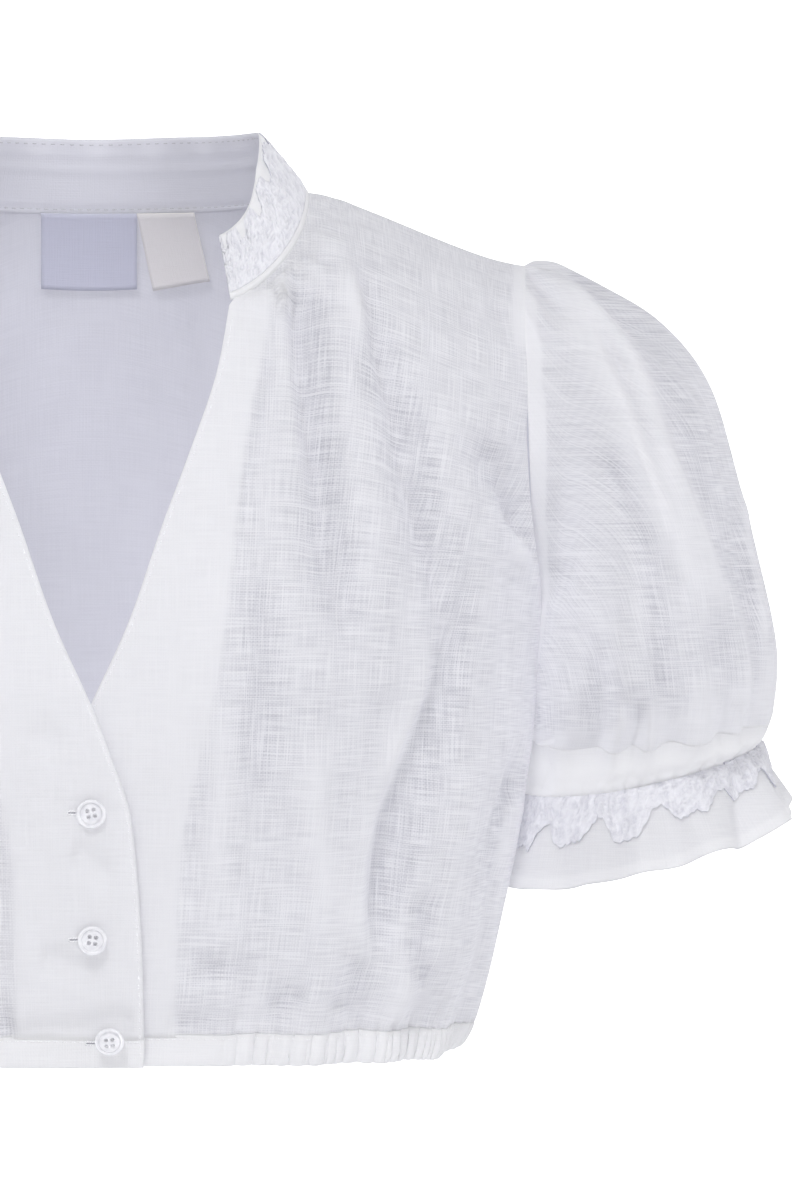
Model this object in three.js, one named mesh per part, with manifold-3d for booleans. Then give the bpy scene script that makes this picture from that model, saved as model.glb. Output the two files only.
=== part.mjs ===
// A short puff-sleeved dirndl blouse in white linen, filled out as if worn, with nobody in it.
// Millimetres, +Z up. The front faces -Y and the wearer's left is +X. The origin lies between the
// two points where the shoulder seams meet the collar, level with them.
import * as THREE from "three";
import { mergeVertices } from "three/addons/utils/BufferGeometryUtils.js";
import Module from "manifold-3d";

// Cloth and seams
const LINEN = 1.2;
const FACING = 1.0;
const COLLAR = 1.6;
const LACE = 1.2;
const CASING = 2.2;
const LABEL = 0.8;
const SEAM_GAP = 0.4;
const ARMHOLE_GAP = 1.35;
const PANEL_SEAM = 1;
const LAYER_GAP = 0.8;
const LACE_GAP = 1.2;
const COLLAR_LACE_GAP = 1.15;

// Heights of the seams
const HEM = -344.5;
const CASING_TOP = -333.5;
const UNDERARM = -195;

// Neckline and shoulder
const NECK_HALF_WIDTH = 86;
const COLLAR_FRONT_REACH = 54;
const COLLAR_FRONT_DROP = 47;
const NECK_CURVE = 1.5;
const NECK_SETBACK = 1;
const BACK_NECK_DROP = 5.3;
const BACK_NECK_LIFT = 25;
const SHOULDER_RISE = { from: -200, to: -20 };

// The shoulder line, from the side of the neck outwards
const SHOULDER = [
  { reach: 62, drop: 0 },
  { reach: 86, drop: 1.2 },
  { reach: 98, drop: 3.6 },
  { reach: 116, drop: 10.4 },
  { reach: 140, drop: 20.2 },
  { reach: 156, drop: 26.2 },
  { reach: 168, drop: 29.4 },
  { reach: 182, drop: 31.5 },
  { reach: 200, drop: 34 },
];

// The right front buttons over the left one, and the facings lie under both.
const OVER_LIFT = 2.6;
const UNDER_LIFT = -1.2;
const OVERLAP_REACH = 22;
const OVERLAP_FADE = 62;
const OVERLAP_TOP = { from: -200, to: -150 };
const FACING_STEP = -(LINEN / 2 + LAYER_GAP + FACING / 2);

// Fullness at the bust: how far it stands out, where, and how far it spreads
const BUST = { lift: 7, reach: 78, height: -192, spreadAcross: 42, spreadUp: 52 };

// Level sections of the bodice, hem to shoulder line: depths and half widths
const BODICE = [
  { height: -345, front: 86, back: 75, halfWidth: 147.5, square: 2.3 },
  { height: -333, front: 88, back: 77, halfWidth: 151.5, square: 2.3 },
  { height: -304, front: 94, back: 80, halfWidth: 160.5, square: 2.35 },
  { height: -264, front: 101, back: 83, halfWidth: 169.5, square: 2.4 },
  { height: -225, front: 107, back: 87, halfWidth: 175.5, square: 2.4 },
  { height: -190, front: 109, back: 91, halfWidth: 179, square: 2.4 },
  { height: -150, front: 107, back: 93, halfWidth: 185, square: 2.4 },
  { height: -110, front: 99, back: 92, halfWidth: 191, square: 2.45 },
  { height: -75, front: 88, back: 87, halfWidth: 196, square: 2.5 },
  { height: -46, front: 75, back: 78, halfWidth: 198, square: 2.5 },
  { height: -23, front: 58, back: 63, halfWidth: 198, square: 2.5 },
  { height: -9, front: 38, back: 42, halfWidth: 198, square: 2.5 },
  { height: -2, front: 18, back: 20, halfWidth: 198, square: 2.5 },
  { height: 0, front: 0, back: 0, halfWidth: 198, square: 2.5 },
];

// The edge of each front, from the hem up the button placket and the V to the collar. A negative
// reach lies past the centre line. The facing runs from that edge to its own reach.
const FRONT_EDGE = [
  { height: -346, reach: -20.5, facing: 33 },
  { height: -300, reach: -19.5, facing: 33.5 },
  { height: -268, reach: -17.5, facing: 35 },
  { height: -243, reach: -14.5, facing: 38 },
  { height: -222, reach: -7, facing: 43 },
  { height: -205, reach: -0.5, facing: 47 },
  { height: -172, reach: 14.5, facing: 52 },
  { height: -136, reach: 27, facing: 56 },
  { height: -104, reach: 39, facing: 60 },
  { height: -76, reach: 48.5, facing: 65 },
  { height: -COLLAR_FRONT_DROP, reach: COLLAR_FRONT_REACH, facing: 71 },
];

// The armhole from the underarm to the shoulder tip: its share of the half width at each step
const ARMHOLE = [
  { across: 1.0 },
  { across: 0.9965 },
  { across: 0.966 },
  { across: 0.918 },
  { across: 0.8775 },
  { across: 0.8645 },
  { across: 0.871 },
  { across: 0.876 },
  { across: 0.876 },
];

// The stand collar from its front end to the centre back: how far it leans in, and its height
const COLLAR_COLUMNS = 60;
const COLLAR_EASE = 0.11;
const COLLAR_BASE = 1.35;
const COLLAR_CORNER = 0.46;
const COLLAR_END = 0.9985;
const COLLAR_STAND = [
  { lean: 27, height: 29 },
  { lean: 31, height: 29.5 },
  { lean: 39, height: 30.5 },
  { lean: 35, height: 32.5 },
  { lean: 20, height: 32 },
  { lean: 11, height: 31 },
];

// Soft folds of a front. Angles run round the body from the centre front, widths and depths in mm.
const FRONT_FOLDS = [
  { fromAngle: 20.5, fromHeight: -40, toAngle: 17, toHeight: -190, bow: -3, width: 10, depth: -2.4 },
  { fromAngle: 25, fromHeight: -32, toAngle: 31, toHeight: -190, bow: 6, width: 12, depth: -2.6 },
  { fromAngle: 29, fromHeight: -22, toAngle: 47, toHeight: -170, bow: 9, width: 13, depth: 2.2 },
  { fromAngle: 37, fromHeight: -60, toAngle: 50, toHeight: -225, bow: 4, width: 12, depth: -3.0 },
  { fromAngle: 60, fromHeight: -80, toAngle: 66, toHeight: -235, bow: -4, width: 13, depth: -2.2 },
  { fromAngle: 39, fromHeight: -195, toAngle: 45, toHeight: -342, bow: -4, width: 13, depth: -4.2 },
  { fromAngle: 56, fromHeight: -222, toAngle: 60, toHeight: -342, bow: 3, width: 12, depth: 3.6 },
  { fromAngle: 73, fromHeight: -215, toAngle: 72, toHeight: -340, bow: 0, width: 10, depth: -2.8 },
];

// Soft folds of the back, measured round from the centre back
const BACK_FOLDS = [
  { fromAngle: 14, fromHeight: -210, toAngle: 12, toHeight: -342, bow: 4, width: 13, depth: -3.2 },
  { fromAngle: 33, fromHeight: -190, toAngle: 29, toHeight: -342, bow: -5, width: 13, depth: 3.2 },
  { fromAngle: 50, fromHeight: -150, toAngle: 47, toHeight: -342, bow: 5, width: 12, depth: -3.4 },
  { fromAngle: 68, fromHeight: -200, toAngle: 66, toHeight: -342, bow: 0, width: 11, depth: 2.4 },
  { fromAngle: 55, fromHeight: -60, toAngle: 66, toHeight: -190, bow: -6, width: 11, depth: -2.2 },
];
const FOLD_RADIUS = 165;
const FOLD_FADE_IN = 0.12;
const FOLD_FADE_OUT = 0.5;
const OTHER_SIDE = { angle: 1.5, height: -7, depth: 0.85 };

// Gathers: how many, how far they stand out and how far up they reach
const HEM_GATHERS = { perTurn: 24, lift: 2.0, reach: 34 };
const CASING_GATHERS = { perTurn: 72, lift: 0.9 };
const SMOOTH_FRONT = { from: 46, to: 60 };

// Rings of the sleeve in the order it is sewn, shoulder to cuff: the outer and the inner point of
// each, its depth to front and back, and how much lower its front is than its back
const SLEEVE = [
  { outX: 174, outZ: -29, inX: 179, inZ: -195, depth: 50, frontDrop: 0 },
  { outX: 186.5, outZ: -30.5, inX: 181.6, inZ: -197, depth: 58, frontDrop: 0 },
  { outX: 205.5, outZ: -38.5, inX: 182, inZ: -199.5, depth: 70, frontDrop: 0 },
  { outX: 228.5, outZ: -53, inX: 182, inZ: -202, depth: 79, frontDrop: 1 },
  { outX: 246.5, outZ: -76.5, inX: 181.8, inZ: -205, depth: 84, frontDrop: 2 },
  { outX: 257.5, outZ: -111, inX: 181.6, inZ: -208, depth: 86, frontDrop: 4 },
  { outX: 267, outZ: -149, inX: 181.2, inZ: -211, depth: 83, frontDrop: 5 },
  { outX: 273, outZ: -184, inX: 180.8, inZ: -215, depth: 73, frontDrop: 6 },
  { outX: 270.5, outZ: -209.5, inX: 180.2, inZ: -219, depth: 60, frontDrop: 7 },
];
const SLEEVE_SQUARE = 2.2;
const SLEEVE_RING_STEP = 24;
const SLEEVE_RADIUS = 70;
const BESIDE_BODY = { from: 110, to: 150, share: 0.25 };
const HEAD_GATHERS = { perTurn: 16, lift: 2.0, rings: 1.6, fullArc: 50, halfArc: 85 };
const CUFF_GATHERS = { perTurn: 16, lift: 1.9, rings: 1.6 };

// Folds of a sleeve, by the angle round it from its outer line (the front is at 90) and by ring
const SLEEVE_FOLDS = [
  { fromAngle: 24, fromRing: 1.4, toAngle: 27, toRing: 6.8, bow: 4, width: 9, depth: -3.2 },
  { fromAngle: 46, fromRing: 1.0, toAngle: 60, toRing: 6.2, bow: 7, width: 9, depth: -2.8 },
  { fromAngle: 14, fromRing: 5.4, toAngle: 16, toRing: 8.0, bow: 2, width: 8, depth: -3.0 },
  { fromAngle: 84, fromRing: 4.2, toAngle: 76, toRing: 8.0, bow: 4, width: 9, depth: -3.0 },
  { fromAngle: 112, fromRing: 2.0, toAngle: 106, toRing: 7.8, bow: 3, width: 10, depth: 2.6 },
  { fromAngle: 330, fromRing: 1.6, toAngle: 326, toRing: 6.8, bow: -5, width: 9, depth: -3.0 },
  { fromAngle: 298, fromRing: 1.2, toAngle: 290, toRing: 6.4, bow: -4, width: 10, depth: -2.8 },
  { fromAngle: 262, fromRing: 4.0, toAngle: 268, toRing: 8.0, bow: 3, width: 9, depth: -2.8 },
];

// Rings of the frilled cuff: elastic casing, elastic line and the frill below it
const CUFF = [
  { outX: 270.2, outZ: -211, inX: 180.2, inZ: -220.6, depth: 59.3, frontDrop: 7 },
  { outX: 269, outZ: -215.5, inX: 179.8, inZ: -229.5, depth: 54.5, frontDrop: 6.5 },
  { outX: 266.5, outZ: -219.8, inX: 178.5, inZ: -240, depth: 48, frontDrop: 6 },
  { outX: 273.5, outZ: -233, inX: 174.6, inZ: -258.5, depth: 52, frontDrop: 7 },
  { outX: 282.5, outZ: -247, inX: 170.6, inZ: -277, depth: 57.5, frontDrop: 7 },
];
const CUFF_RING_STEP = 14;
const ELASTIC_RING = 2;
const FRILL_WAVES = { perTurn: 9, lift: 2.8 };

// Lace edging: a straight footing and pointed scallops
const COLLAR_LACE = { foot: 0.03, valley: 0.52, tip: 0.9, points: 15 };
const CUFF_LACE = { foot: 0.04, valley: 0.62, tip: 1.32, points: 16 };

// Buttons: round, four holes, a raised rim
const BUTTON = { radius: 5.75, foot: 4.14, rim: 2.6, well: 1.5, wellRadius: 3.9 };
const BUTTON_HOLE = { radius: 0.8, reach: 1.75, sides: 7 };
const BUTTONS = [
  { reach: 0, height: -245, tilt: 0 },
  { reach: 0.5, height: -294, tilt: 4 },
  { reach: 7, height: -334.5, tilt: 20 },
];
const BUTTON_CLEARANCE = 0.35;

// Labels sewn into the back neck seam, by their middle, size and turn
const LABEL_SEAM = 6.5;
const LABEL_TOP_HANG = 0.3;
const LABELS = [
  { name: "neck_label", middle: 0, width: 39, drop: 30, turn: 0, hang: 2 },
  { name: "size_label", middle: 33.2, width: 22.5, drop: 28, turn: 8.5, hang: 2.6 },
];

// Half steps for normals, in degrees round and in mm or rings up: wide, so that walls stay even
const BODY_STEP = { around: 2, up: 7 };
const COLLAR_STEP = { around: 0.03, up: 0.15 };
const RING_STEP = { around: 5, up: 0.35 };

const { sin, cos, abs, PI } = Math;
const radians = (degrees) => (degrees * PI) / 180;
const degrees = (angle) => (angle * 180) / PI;
const mix = (a, b, t) => a + (b - a) * t;
const clamp = (x, low, high) => Math.min(Math.max(x, low), high);

// Rises smoothly from 0 at `from` to 1 at `to`.
function ramp(from, to, x) {
  const t = clamp((x - from) / (to - from), 0, 1);
  return t * t * (3 - 2 * t);
}

// A table's column read between its rows, along a smooth curve through them.
function between(table, column, place) {
  const last = table.length - 1;
  const row = clamp(Math.floor(place), 0, last - 1);
  const t = clamp(place - row, 0, 1);
  const value = (k) => table[clamp(k, 0, last)][column];
  return smoothThrough(value(row - 1), value(row), value(row + 1), value(row + 2), t);
}

// The Catmull-Rom curve from b to c.
function smoothThrough(a, b, c, d, t) {
  const linear = c - a;
  const square = 2 * a - 5 * b + 4 * c - d;
  const cubic = 3 * (b - c) + d - a;
  return b + (t * (linear + t * (square + t * cubic))) / 2;
}

// The place in a table whose rows climb in `column`.
function placeAt(table, column, value) {
  let low = 0;
  let high = table.length - 1;
  for (let step = 0; step < 40; step++) {
    const middle = (low + high) / 2;
    if (between(table, column, middle) < value) low = middle;
    else high = middle;
  }
  return (low + high) / 2;
}

// How far along the bodice's own profile each section lies, so that rows can be spaced evenly.
const STATIONS = BODICE.reduce((sums, row, k) => {
  if (k === 0) return [0];
  const before = BODICE[k - 1];
  const depth = (row.front + row.back - before.front - before.back) / 2;
  return [...sums, sums[k - 1] + Math.hypot(row.height - before.height, depth)];
}, []);
const SHOULDER_LINE = STATIONS[STATIONS.length - 1];

function placeOfStation(station) {
  const above = STATIONS.findIndex((s) => s >= station);
  const row = above < 0 ? STATIONS.length - 2 : Math.max(above - 1, 0);
  return row + (station - STATIONS[row]) / (STATIONS[row + 1] - STATIONS[row]);
}

function stationOfPlace(place) {
  const row = clamp(Math.floor(place), 0, STATIONS.length - 2);
  return mix(STATIONS[row], STATIONS[row + 1], place - row);
}

const stationAt = (height) => stationOfPlace(placeAt(BODICE, "height", height));
const halfWidthAt = (station) => between(BODICE, "halfWidth", placeOfStation(station));

// How far the shoulder drops outwards, and how far the back rises to the neck.
function shoulderShift(x, isFront) {
  const drop = between(SHOULDER, "drop", placeAt(SHOULDER, "reach", abs(x)));
  const inside = clamp(abs(x) / NECK_HALF_WIDTH, 0, 1);
  const lift = isFront ? 0 : BACK_NECK_LIFT * cos((inside * PI) / 2) ** 2;
  return lift - drop;
}

// The smooth bodice at an angle round the body (0 centre front, 180 centre back) and a station.
// Past the shoulder line it carries on down the other side.
function bodiceForm(angle, station) {
  if (station > SHOULDER_LINE) return bodiceForm(180 - angle, 2 * SHOULDER_LINE - station);
  const place = placeOfStation(Math.max(station, 0));
  const isFront = cos(radians(angle)) > 0;
  const across = sin(radians(angle));
  const square = between(BODICE, "square", place);
  const depth = Math.max(between(BODICE, isFront ? "front" : "back", place), 0);
  const height = between(BODICE, "height", place) + Math.min(station, 0);
  const x = between(BODICE, "halfWidth", place) * across;
  const round = Math.max(1 - abs(across) ** square, 0) ** (1 / square);
  const bust =
    BUST.lift *
    Math.exp(-(((abs(x) - BUST.reach) / BUST.spreadAcross) ** 2)) *
    Math.exp(-(((height - BUST.height) / BUST.spreadUp) ** 2));
  const y = isFront ? -(depth + bust) * round : depth * round;
  const risen = ramp(SHOULDER_RISE.from, SHOULDER_RISE.to, height);
  const z = height + shoulderShift(x, isFront) * risen;
  return new THREE.Vector3(x, y, z);
}

// The unit normal of a surface `at(u, v)`, from a step either way.
function normalOf(at, u, v, { around, up }) {
  const alongU = at(u + around, v).sub(at(u - around, v));
  const alongV = at(u, v + up).sub(at(u, v - up));
  return alongU.cross(alongV).normalize();
}

// A soft fold: how far the cloth moves out at `around` mm round the body and `up` mm of height.
function foldLift(fold, around, up) {
  const dx = fold.toAround - fold.fromAround;
  const dy = fold.toUp - fold.fromUp;
  const length = Math.hypot(dx, dy);
  const along = ((around - fold.fromAround) * dx + (up - fold.fromUp) * dy) / length ** 2;
  if (along <= 0 || along >= 1) return 0;
  const aside = ((around - fold.fromAround) * dy - (up - fold.fromUp) * dx) / length;
  const off = (aside - fold.bow * sin(PI * along)) / fold.width;
  const fade = ramp(0, FOLD_FADE_IN, along) * (1 - ramp(FOLD_FADE_OUT, 1, along));
  return fold.depth * fade * Math.exp(-off * off);
}

const onBody = (fold) => ({
  ...fold,
  fromAround: radians(fold.fromAngle) * FOLD_RADIUS,
  toAround: radians(fold.toAngle) * FOLD_RADIUS,
  fromUp: fold.fromHeight,
  toUp: fold.toHeight,
});

// The same folds a little out of step, for the side that isn't its twin's mirror image.
const onOtherSide = (fold) => ({
  ...fold,
  fromAngle: fold.fromAngle + OTHER_SIDE.angle,
  toAngle: fold.toAngle - OTHER_SIDE.angle,
  fromHeight: fold.fromHeight + OTHER_SIDE.height,
  depth: fold.depth * OTHER_SIDE.depth,
});

// Uneven waves round a full turn, from -1 to 1.
function unevenWave(perTurn, angle) {
  const turn = radians(angle);
  return sin(perTurn * turn + 0.9 * sin(3 * turn + 1) + 0.6 * sin(7 * turn));
}

// How far the hem's gathers show at a point: not beside the placket, and fully round the back.
const gathered = (point, angle) =>
  angle > 90 ? 1 : ramp(SMOOTH_FRONT.from, SMOOTH_FRONT.to, abs(point.x));

// The bodice with its folds and hem gathers. `layer` lifts a whole panel off its neighbour.
function bodiceSurface(folds, layer) {
  return (angle, station) => {
    const point = bodiceForm(angle, station);
    const normal = normalOf(bodiceForm, angle, station, BODY_STEP);
    const fromFold = angle > 90 ? 180 - angle : angle;
    const around = radians(fromFold) * FOLD_RADIUS;
    let lift = layer ? layer(point) : 0;
    for (const fold of folds) lift += foldLift(fold, around, point.z);
    const above = Math.max(point.z - CASING_TOP, 0) / HEM_GATHERS.reach;
    const wave = unevenWave(HEM_GATHERS.perTurn, angle) * gathered(point, angle);
    lift += HEM_GATHERS.lift * Math.exp(-above * above) * wave;
    return point.addScaledVector(normal, lift);
  };
}

// How far a front is lifted where the two fronts lie on each other.
const overlapLayer = (lift) => (point) => {
  const near = 1 - ramp(OVERLAP_REACH, OVERLAP_FADE, point.x);
  const below = 1 - ramp(OVERLAP_TOP.from, OVERLAP_TOP.to, point.z);
  return lift * near * below;
};

// The angle round the body at which the cloth is `depth` mm in front of its side line.
function angleAtDepth(station, depth) {
  const place = placeOfStation(station);
  const square = between(BODICE, "square", place);
  const share = depth / Math.max(between(BODICE, "front", place), depth * 2);
  return degrees(Math.asin((1 - share ** square) ** (1 / square)));
}

// The places of the bodice's edges, each as an angle and a station.
const placeAcross = (x, height) => {
  const station = stationAt(height);
  const share = clamp(x / halfWidthAt(station), -1, 1);
  return { angle: degrees(Math.asin(share)), station };
};

function frontEdge(height, column) {
  return placeAcross(between(FRONT_EDGE, column, placeAt(FRONT_EDGE, "height", height)), height);
}

// `turn` is 0 at the collar's front end and 90 where the shoulder seam meets the collar.
function frontNeckline(turn) {
  const reach = NECK_HALF_WIDTH - COLLAR_FRONT_REACH;
  const x = COLLAR_FRONT_REACH + reach * clamp(sin(radians(turn)), 0, 1) ** NECK_CURVE;
  return placeAcross(x, -COLLAR_FRONT_DROP * cos(radians(turn)) - SEAM_GAP / 2);
}

// `turn` is 0 at the shoulder seam and 90 at the centre back.
function backNeckline(turn) {
  const x = NECK_HALF_WIDTH * cos(radians(turn));
  const z = mix(shoulderShift(NECK_HALF_WIDTH, false), -BACK_NECK_DROP, ramp(0, 55, turn));
  const { angle, station } = placeAcross(x, z - shoulderShift(x, false) - SEAM_GAP / 2);
  return { angle: 180 - angle, station };
}

// The levels of a panel: `v` is 0 at the casing, then the underarm, the collar's front end and
// the shoulder at these shares. Rows crowd to the underarm and the collar, where edges turn.
const PANEL_FOOT = stationAt(CASING_TOP + 1.5 * SEAM_GAP);
const PANEL_TOP = SHOULDER_LINE - PANEL_SEAM / 2;
const UNDERARM_LEVEL = stationAt(UNDERARM);
const UNDERARM_SHARE = 0.35;
const COLLAR_END_SHARE = 0.65;
const COLLAR_END_CLIMB = climbOf(stationAt(-COLLAR_FRONT_DROP));
const CROWDING = 1.35;
const FRONT_ROWS = 20;
const NECK_COLUMNS = 6 / 14;

// Where a facing starts and stops on those levels, and how far it keeps back from the edge
const FACING_FOOT = 0.005;
const FACING_TOP = COLLAR_END_SHARE - 0.01;
const FACING_SETBACK = 0.35;

// How far a station has climbed from the underarm, 0, to the shoulder, 1, and back again.
function climbOf(station) {
  return (station - UNDERARM_LEVEL) / (PANEL_TOP - UNDERARM_LEVEL);
}

function climbAt(v) {
  if (v <= UNDERARM_SHARE) return 0;
  const low = (v - UNDERARM_SHARE) / (COLLAR_END_SHARE - UNDERARM_SHARE);
  if (low <= 1) return COLLAR_END_CLIMB * low ** CROWDING;
  const high = (v - COLLAR_END_SHARE) / (1 - COLLAR_END_SHARE);
  return mix(COLLAR_END_CLIMB, 1, (high + (1 - cos(PI * high)) / 2) / 2);
}

function levelAt(v, top) {
  if (v <= UNDERARM_SHARE) return mix(PANEL_FOOT, UNDERARM_LEVEL, v / UNDERARM_SHARE);
  return mix(UNDERARM_LEVEL, top, climbAt(v));
}

// The angle of a front's outer edge at a station: up the side seam, then round the armhole.
function outerEdge(station) {
  const share = Math.acos(1 - 2 * clamp(climbOf(station), 0, 1)) / PI;
  const across = between(ARMHOLE, "across", share * (ARMHOLE.length - 1));
  const inset = share > 0 ? SEAM_GAP / halfWidthAt(station) : 0;
  const angle = degrees(Math.asin(clamp(across - inset, 0, 1)));
  return Math.min(angle, angleAtDepth(station, PANEL_SEAM / 2));
}

// The angle of a front's inner edge: up the placket and the V, then along the collar seam.
function innerEdge(station) {
  const height = between(BODICE, "height", placeOfStation(station));
  if (height < -COLLAR_FRONT_DROP) return frontEdge(height, "reach").angle;
  const turn = degrees(Math.acos(clamp(-height / COLLAR_FRONT_DROP, 0, 1)));
  return frontNeckline(turn).angle + degrees(NECK_SETBACK / halfWidthAt(station));
}

function frontPlaces(u, v) {
  const station = levelAt(v, PANEL_TOP);
  return { angle: mix(innerEdge(station), outerEdge(station), u), station };
}

// The top edge of the back at a share of its half width: the collar seam, then the shoulder.
function backTop(half) {
  const x = halfWidthAt(PANEL_TOP) * sin(radians(half * outerEdge(PANEL_TOP)));
  if (x >= NECK_HALF_WIDTH) return PANEL_TOP;
  return Math.min(backNeckline(degrees(Math.acos(x / NECK_HALF_WIDTH))).station, PANEL_TOP);
}

// A share of the back's half width with columns crowding in towards the side of the neck.
function spread(share) {
  const neckHalf = placeAcross(NECK_HALF_WIDTH, 0).angle / outerEdge(PANEL_TOP);
  const part = abs(share) / NECK_COLUMNS;
  if (part <= 1) return Math.sign(share) * neckHalf * sin((PI / 2) * part);
  return Math.sign(share) * mix(neckHalf, 1, (part - 1) / (1 / NECK_COLUMNS - 1));
}

// The whole back, from the wearer's left side round to the right one.
function backPlaces(u, v) {
  const half = spread(1 - 2 * u);
  const angle = 180 - half * outerEdge(levelAt(v, PANEL_TOP));
  return { angle, station: levelAt(v, backTop(abs(half))) };
}

// A closed wall of even thickness. `at(u, v)` gives a point and the outward normal for shares
// u and v from 0 to 1, and `round` joins the last column to the first.
function wall(at, columns, rows, thickness, round = false) {
  const across = round ? columns : columns + 1;
  const outer = [];
  const inner = [];
  for (let j = 0; j <= rows; j++) {
    for (let i = 0; i < across; i++) {
      const { point, normal } = at(i / columns, j / rows);
      outer.push(point.clone().addScaledVector(normal, thickness / 2));
      inner.push(point.clone().addScaledVector(normal, -thickness / 2));
    }
  }
  const count = outer.length;
  const corners = [];
  const quad = (a, b, c, d) => corners.push(a, b, c, a, c, d);
  const id = (i, j) => (i % across) + j * across;
  for (let i = 0; i < columns; i++) {
    for (let j = 0; j < rows; j++) {
      let [a, b, c, d] = [id(i, j), id(i + 1, j), id(i + 1, j + 1), id(i, j + 1)];
      if (outer[a].distanceTo(outer[c]) > outer[b].distanceTo(outer[d])) [a, b, c, d] = [b, c, d, a];
      quad(a, b, c, d);
      quad(a + count, d + count, c + count, b + count);
    }
    quad(id(i, 0) + count, id(i + 1, 0) + count, id(i + 1, 0), id(i, 0));
    quad(id(i, rows), id(i + 1, rows), id(i + 1, rows) + count, id(i, rows) + count);
  }
  for (let j = 0; j < rows && !round; j++) {
    quad(id(0, j), id(0, j + 1), id(0, j + 1) + count, id(0, j) + count);
    const [c, d] = [id(columns, j), id(columns, j + 1)];
    quad(c + count, d + count, d, c);
  }
  const geometry = new THREE.BufferGeometry().setFromPoints([...outer, ...inner]);
  return geometry.setIndex(corners);
}

// Turns a wearer's-left shape into a wearer's-right one.
function mirrored(geometry) {
  const turned = geometry.clone().scale(-1, 1, 1);
  const corners = Array.from(turned.index.array);
  for (let k = 0; k < corners.length; k += 3) {
    [corners[k + 1], corners[k + 2]] = [corners[k + 2], corners[k + 1]];
  }
  return turned.setIndex(corners);
}

// Puts a patch of the bodice on its surface, `lift` mm outside it.
function onBodice(surface, places, lift = 0) {
  return (u, v) => {
    const { angle, station } = places(u, v);
    const normal = normalOf(surface, angle, station, BODY_STEP);
    return { point: surface(angle, station).addScaledVector(normal, lift), normal };
  };
}

const LEFT_FOLDS = FRONT_FOLDS.map(onBody);
const RIGHT_FOLDS = FRONT_FOLDS.map(onOtherSide).map(onBody);
const leftFront = bodiceSurface(LEFT_FOLDS, overlapLayer(UNDER_LIFT));
const rightFront = bodiceSurface(RIGHT_FOLDS, overlapLayer(OVER_LIFT));
const backSurface = bodiceSurface(BACK_FOLDS.map(onBody));

const frontPanel = (surface) => wall(onBodice(surface, frontPlaces), 20, FRONT_ROWS, LINEN);
const backPanel = () => wall(onBodice(backSurface, backPlaces), 28, FRONT_ROWS, LINEN);

// The facing under a front's edge, a little inside the edge.
function frontFacing(surface) {
  const places = (u, v) => {
    const station = levelAt(mix(FACING_FOOT, FACING_TOP, v), PANEL_TOP);
    const height = between(BODICE, "height", placeOfStation(station));
    const near = frontEdge(height, "reach").angle + FACING_SETBACK;
    return { angle: mix(near, frontEdge(height, "facing").angle, u), station };
  };
  return wall(onBodice(surface, places, FACING_STEP), 5, FRONT_ROWS * COLLAR_END_SHARE, FACING);
}

// A strip of the gathered hem casing between two angles. It is smooth beside the placket.
function hemCasing(surface, from, to, columns) {
  const low = stationAt(HEM);
  const high = stationAt(CASING_TOP);
  const puckered = (angle, station) => {
    const point = surface(angle, station);
    const normal = normalOf(surface, angle, station, BODY_STEP);
    const wave = unevenWave(CASING_GATHERS.perTurn, angle) * gathered(point, angle);
    return point.addScaledVector(normal, CASING_GATHERS.lift * wave);
  };
  const places = (u, v) => ({ angle: mix(from, to, u), station: mix(low, high, v) });
  return wall(onBodice(puckered, places), columns, 1, CASING);
}

// The collar seam as a share from the front end, 0, to the centre back, 1, on the wearer's left.
function collarSeam(share) {
  const onFront = share < COLLAR_CORNER;
  const place = onFront
    ? frontNeckline((90 * share) / COLLAR_CORNER)
    : backNeckline((90 * (share - COLLAR_CORNER)) / (1 - COLLAR_CORNER));
  return bodiceForm(place.angle, place.station);
}

// The collar's surface: `share` from -1 at the wearer's right front end to 1 at the left one,
// and `up` from 0 at the seam to 1 at the top edge.
function collarSurface(share, up) {
  const from = 1 - abs(share);
  const seam = collarSeam(from);
  const along = collarSeam(from + COLLAR_EASE).sub(collarSeam(Math.max(from - COLLAR_EASE, 0)));
  const outward = new THREE.Vector3(-along.y, along.x, 0).normalize().negate();
  const place = from * (COLLAR_STAND.length - 1);
  const lean = radians(between(COLLAR_STAND, "lean", place));
  const climb = COLLAR_BASE + up * between(COLLAR_STAND, "height", place);
  const point = seam.addScaledVector(outward, -sin(lean) * climb);
  point.z += cos(lean) * climb;
  if (share < 0) point.x = -point.x;
  return point;
}

function onCollar(places, lift) {
  return (u, v) => {
    const { share, up } = places(u, v);
    const normal = normalOf(collarSurface, share, up, COLLAR_STEP).negate();
    return { point: collarSurface(share, up).addScaledVector(normal, lift), normal };
  };
}

function collarBand() {
  const places = (u, v) => ({ share: mix(COLLAR_END, -COLLAR_END, u), up: v });
  return wall(onCollar(places, 0), COLLAR_COLUMNS, 1, COLLAR);
}

// Pointed scallops: 0 in a valley, 1 at a tip.
const scallop = (points, share) => 1 - abs(2 * (((share * points) % 1) - 0.5));

function collarLace() {
  const { foot, valley, tip, points } = COLLAR_LACE;
  const places = (u, v) => ({
    share: mix(COLLAR_END, -COLLAR_END, u),
    up: mix(foot, mix(valley, tip, scallop(points, u)), v),
  });
  return wall(onCollar(places, COLLAR / 2 + COLLAR_LACE_GAP + LACE / 2), COLLAR_COLUMNS, 1, LACE);
}

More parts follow.
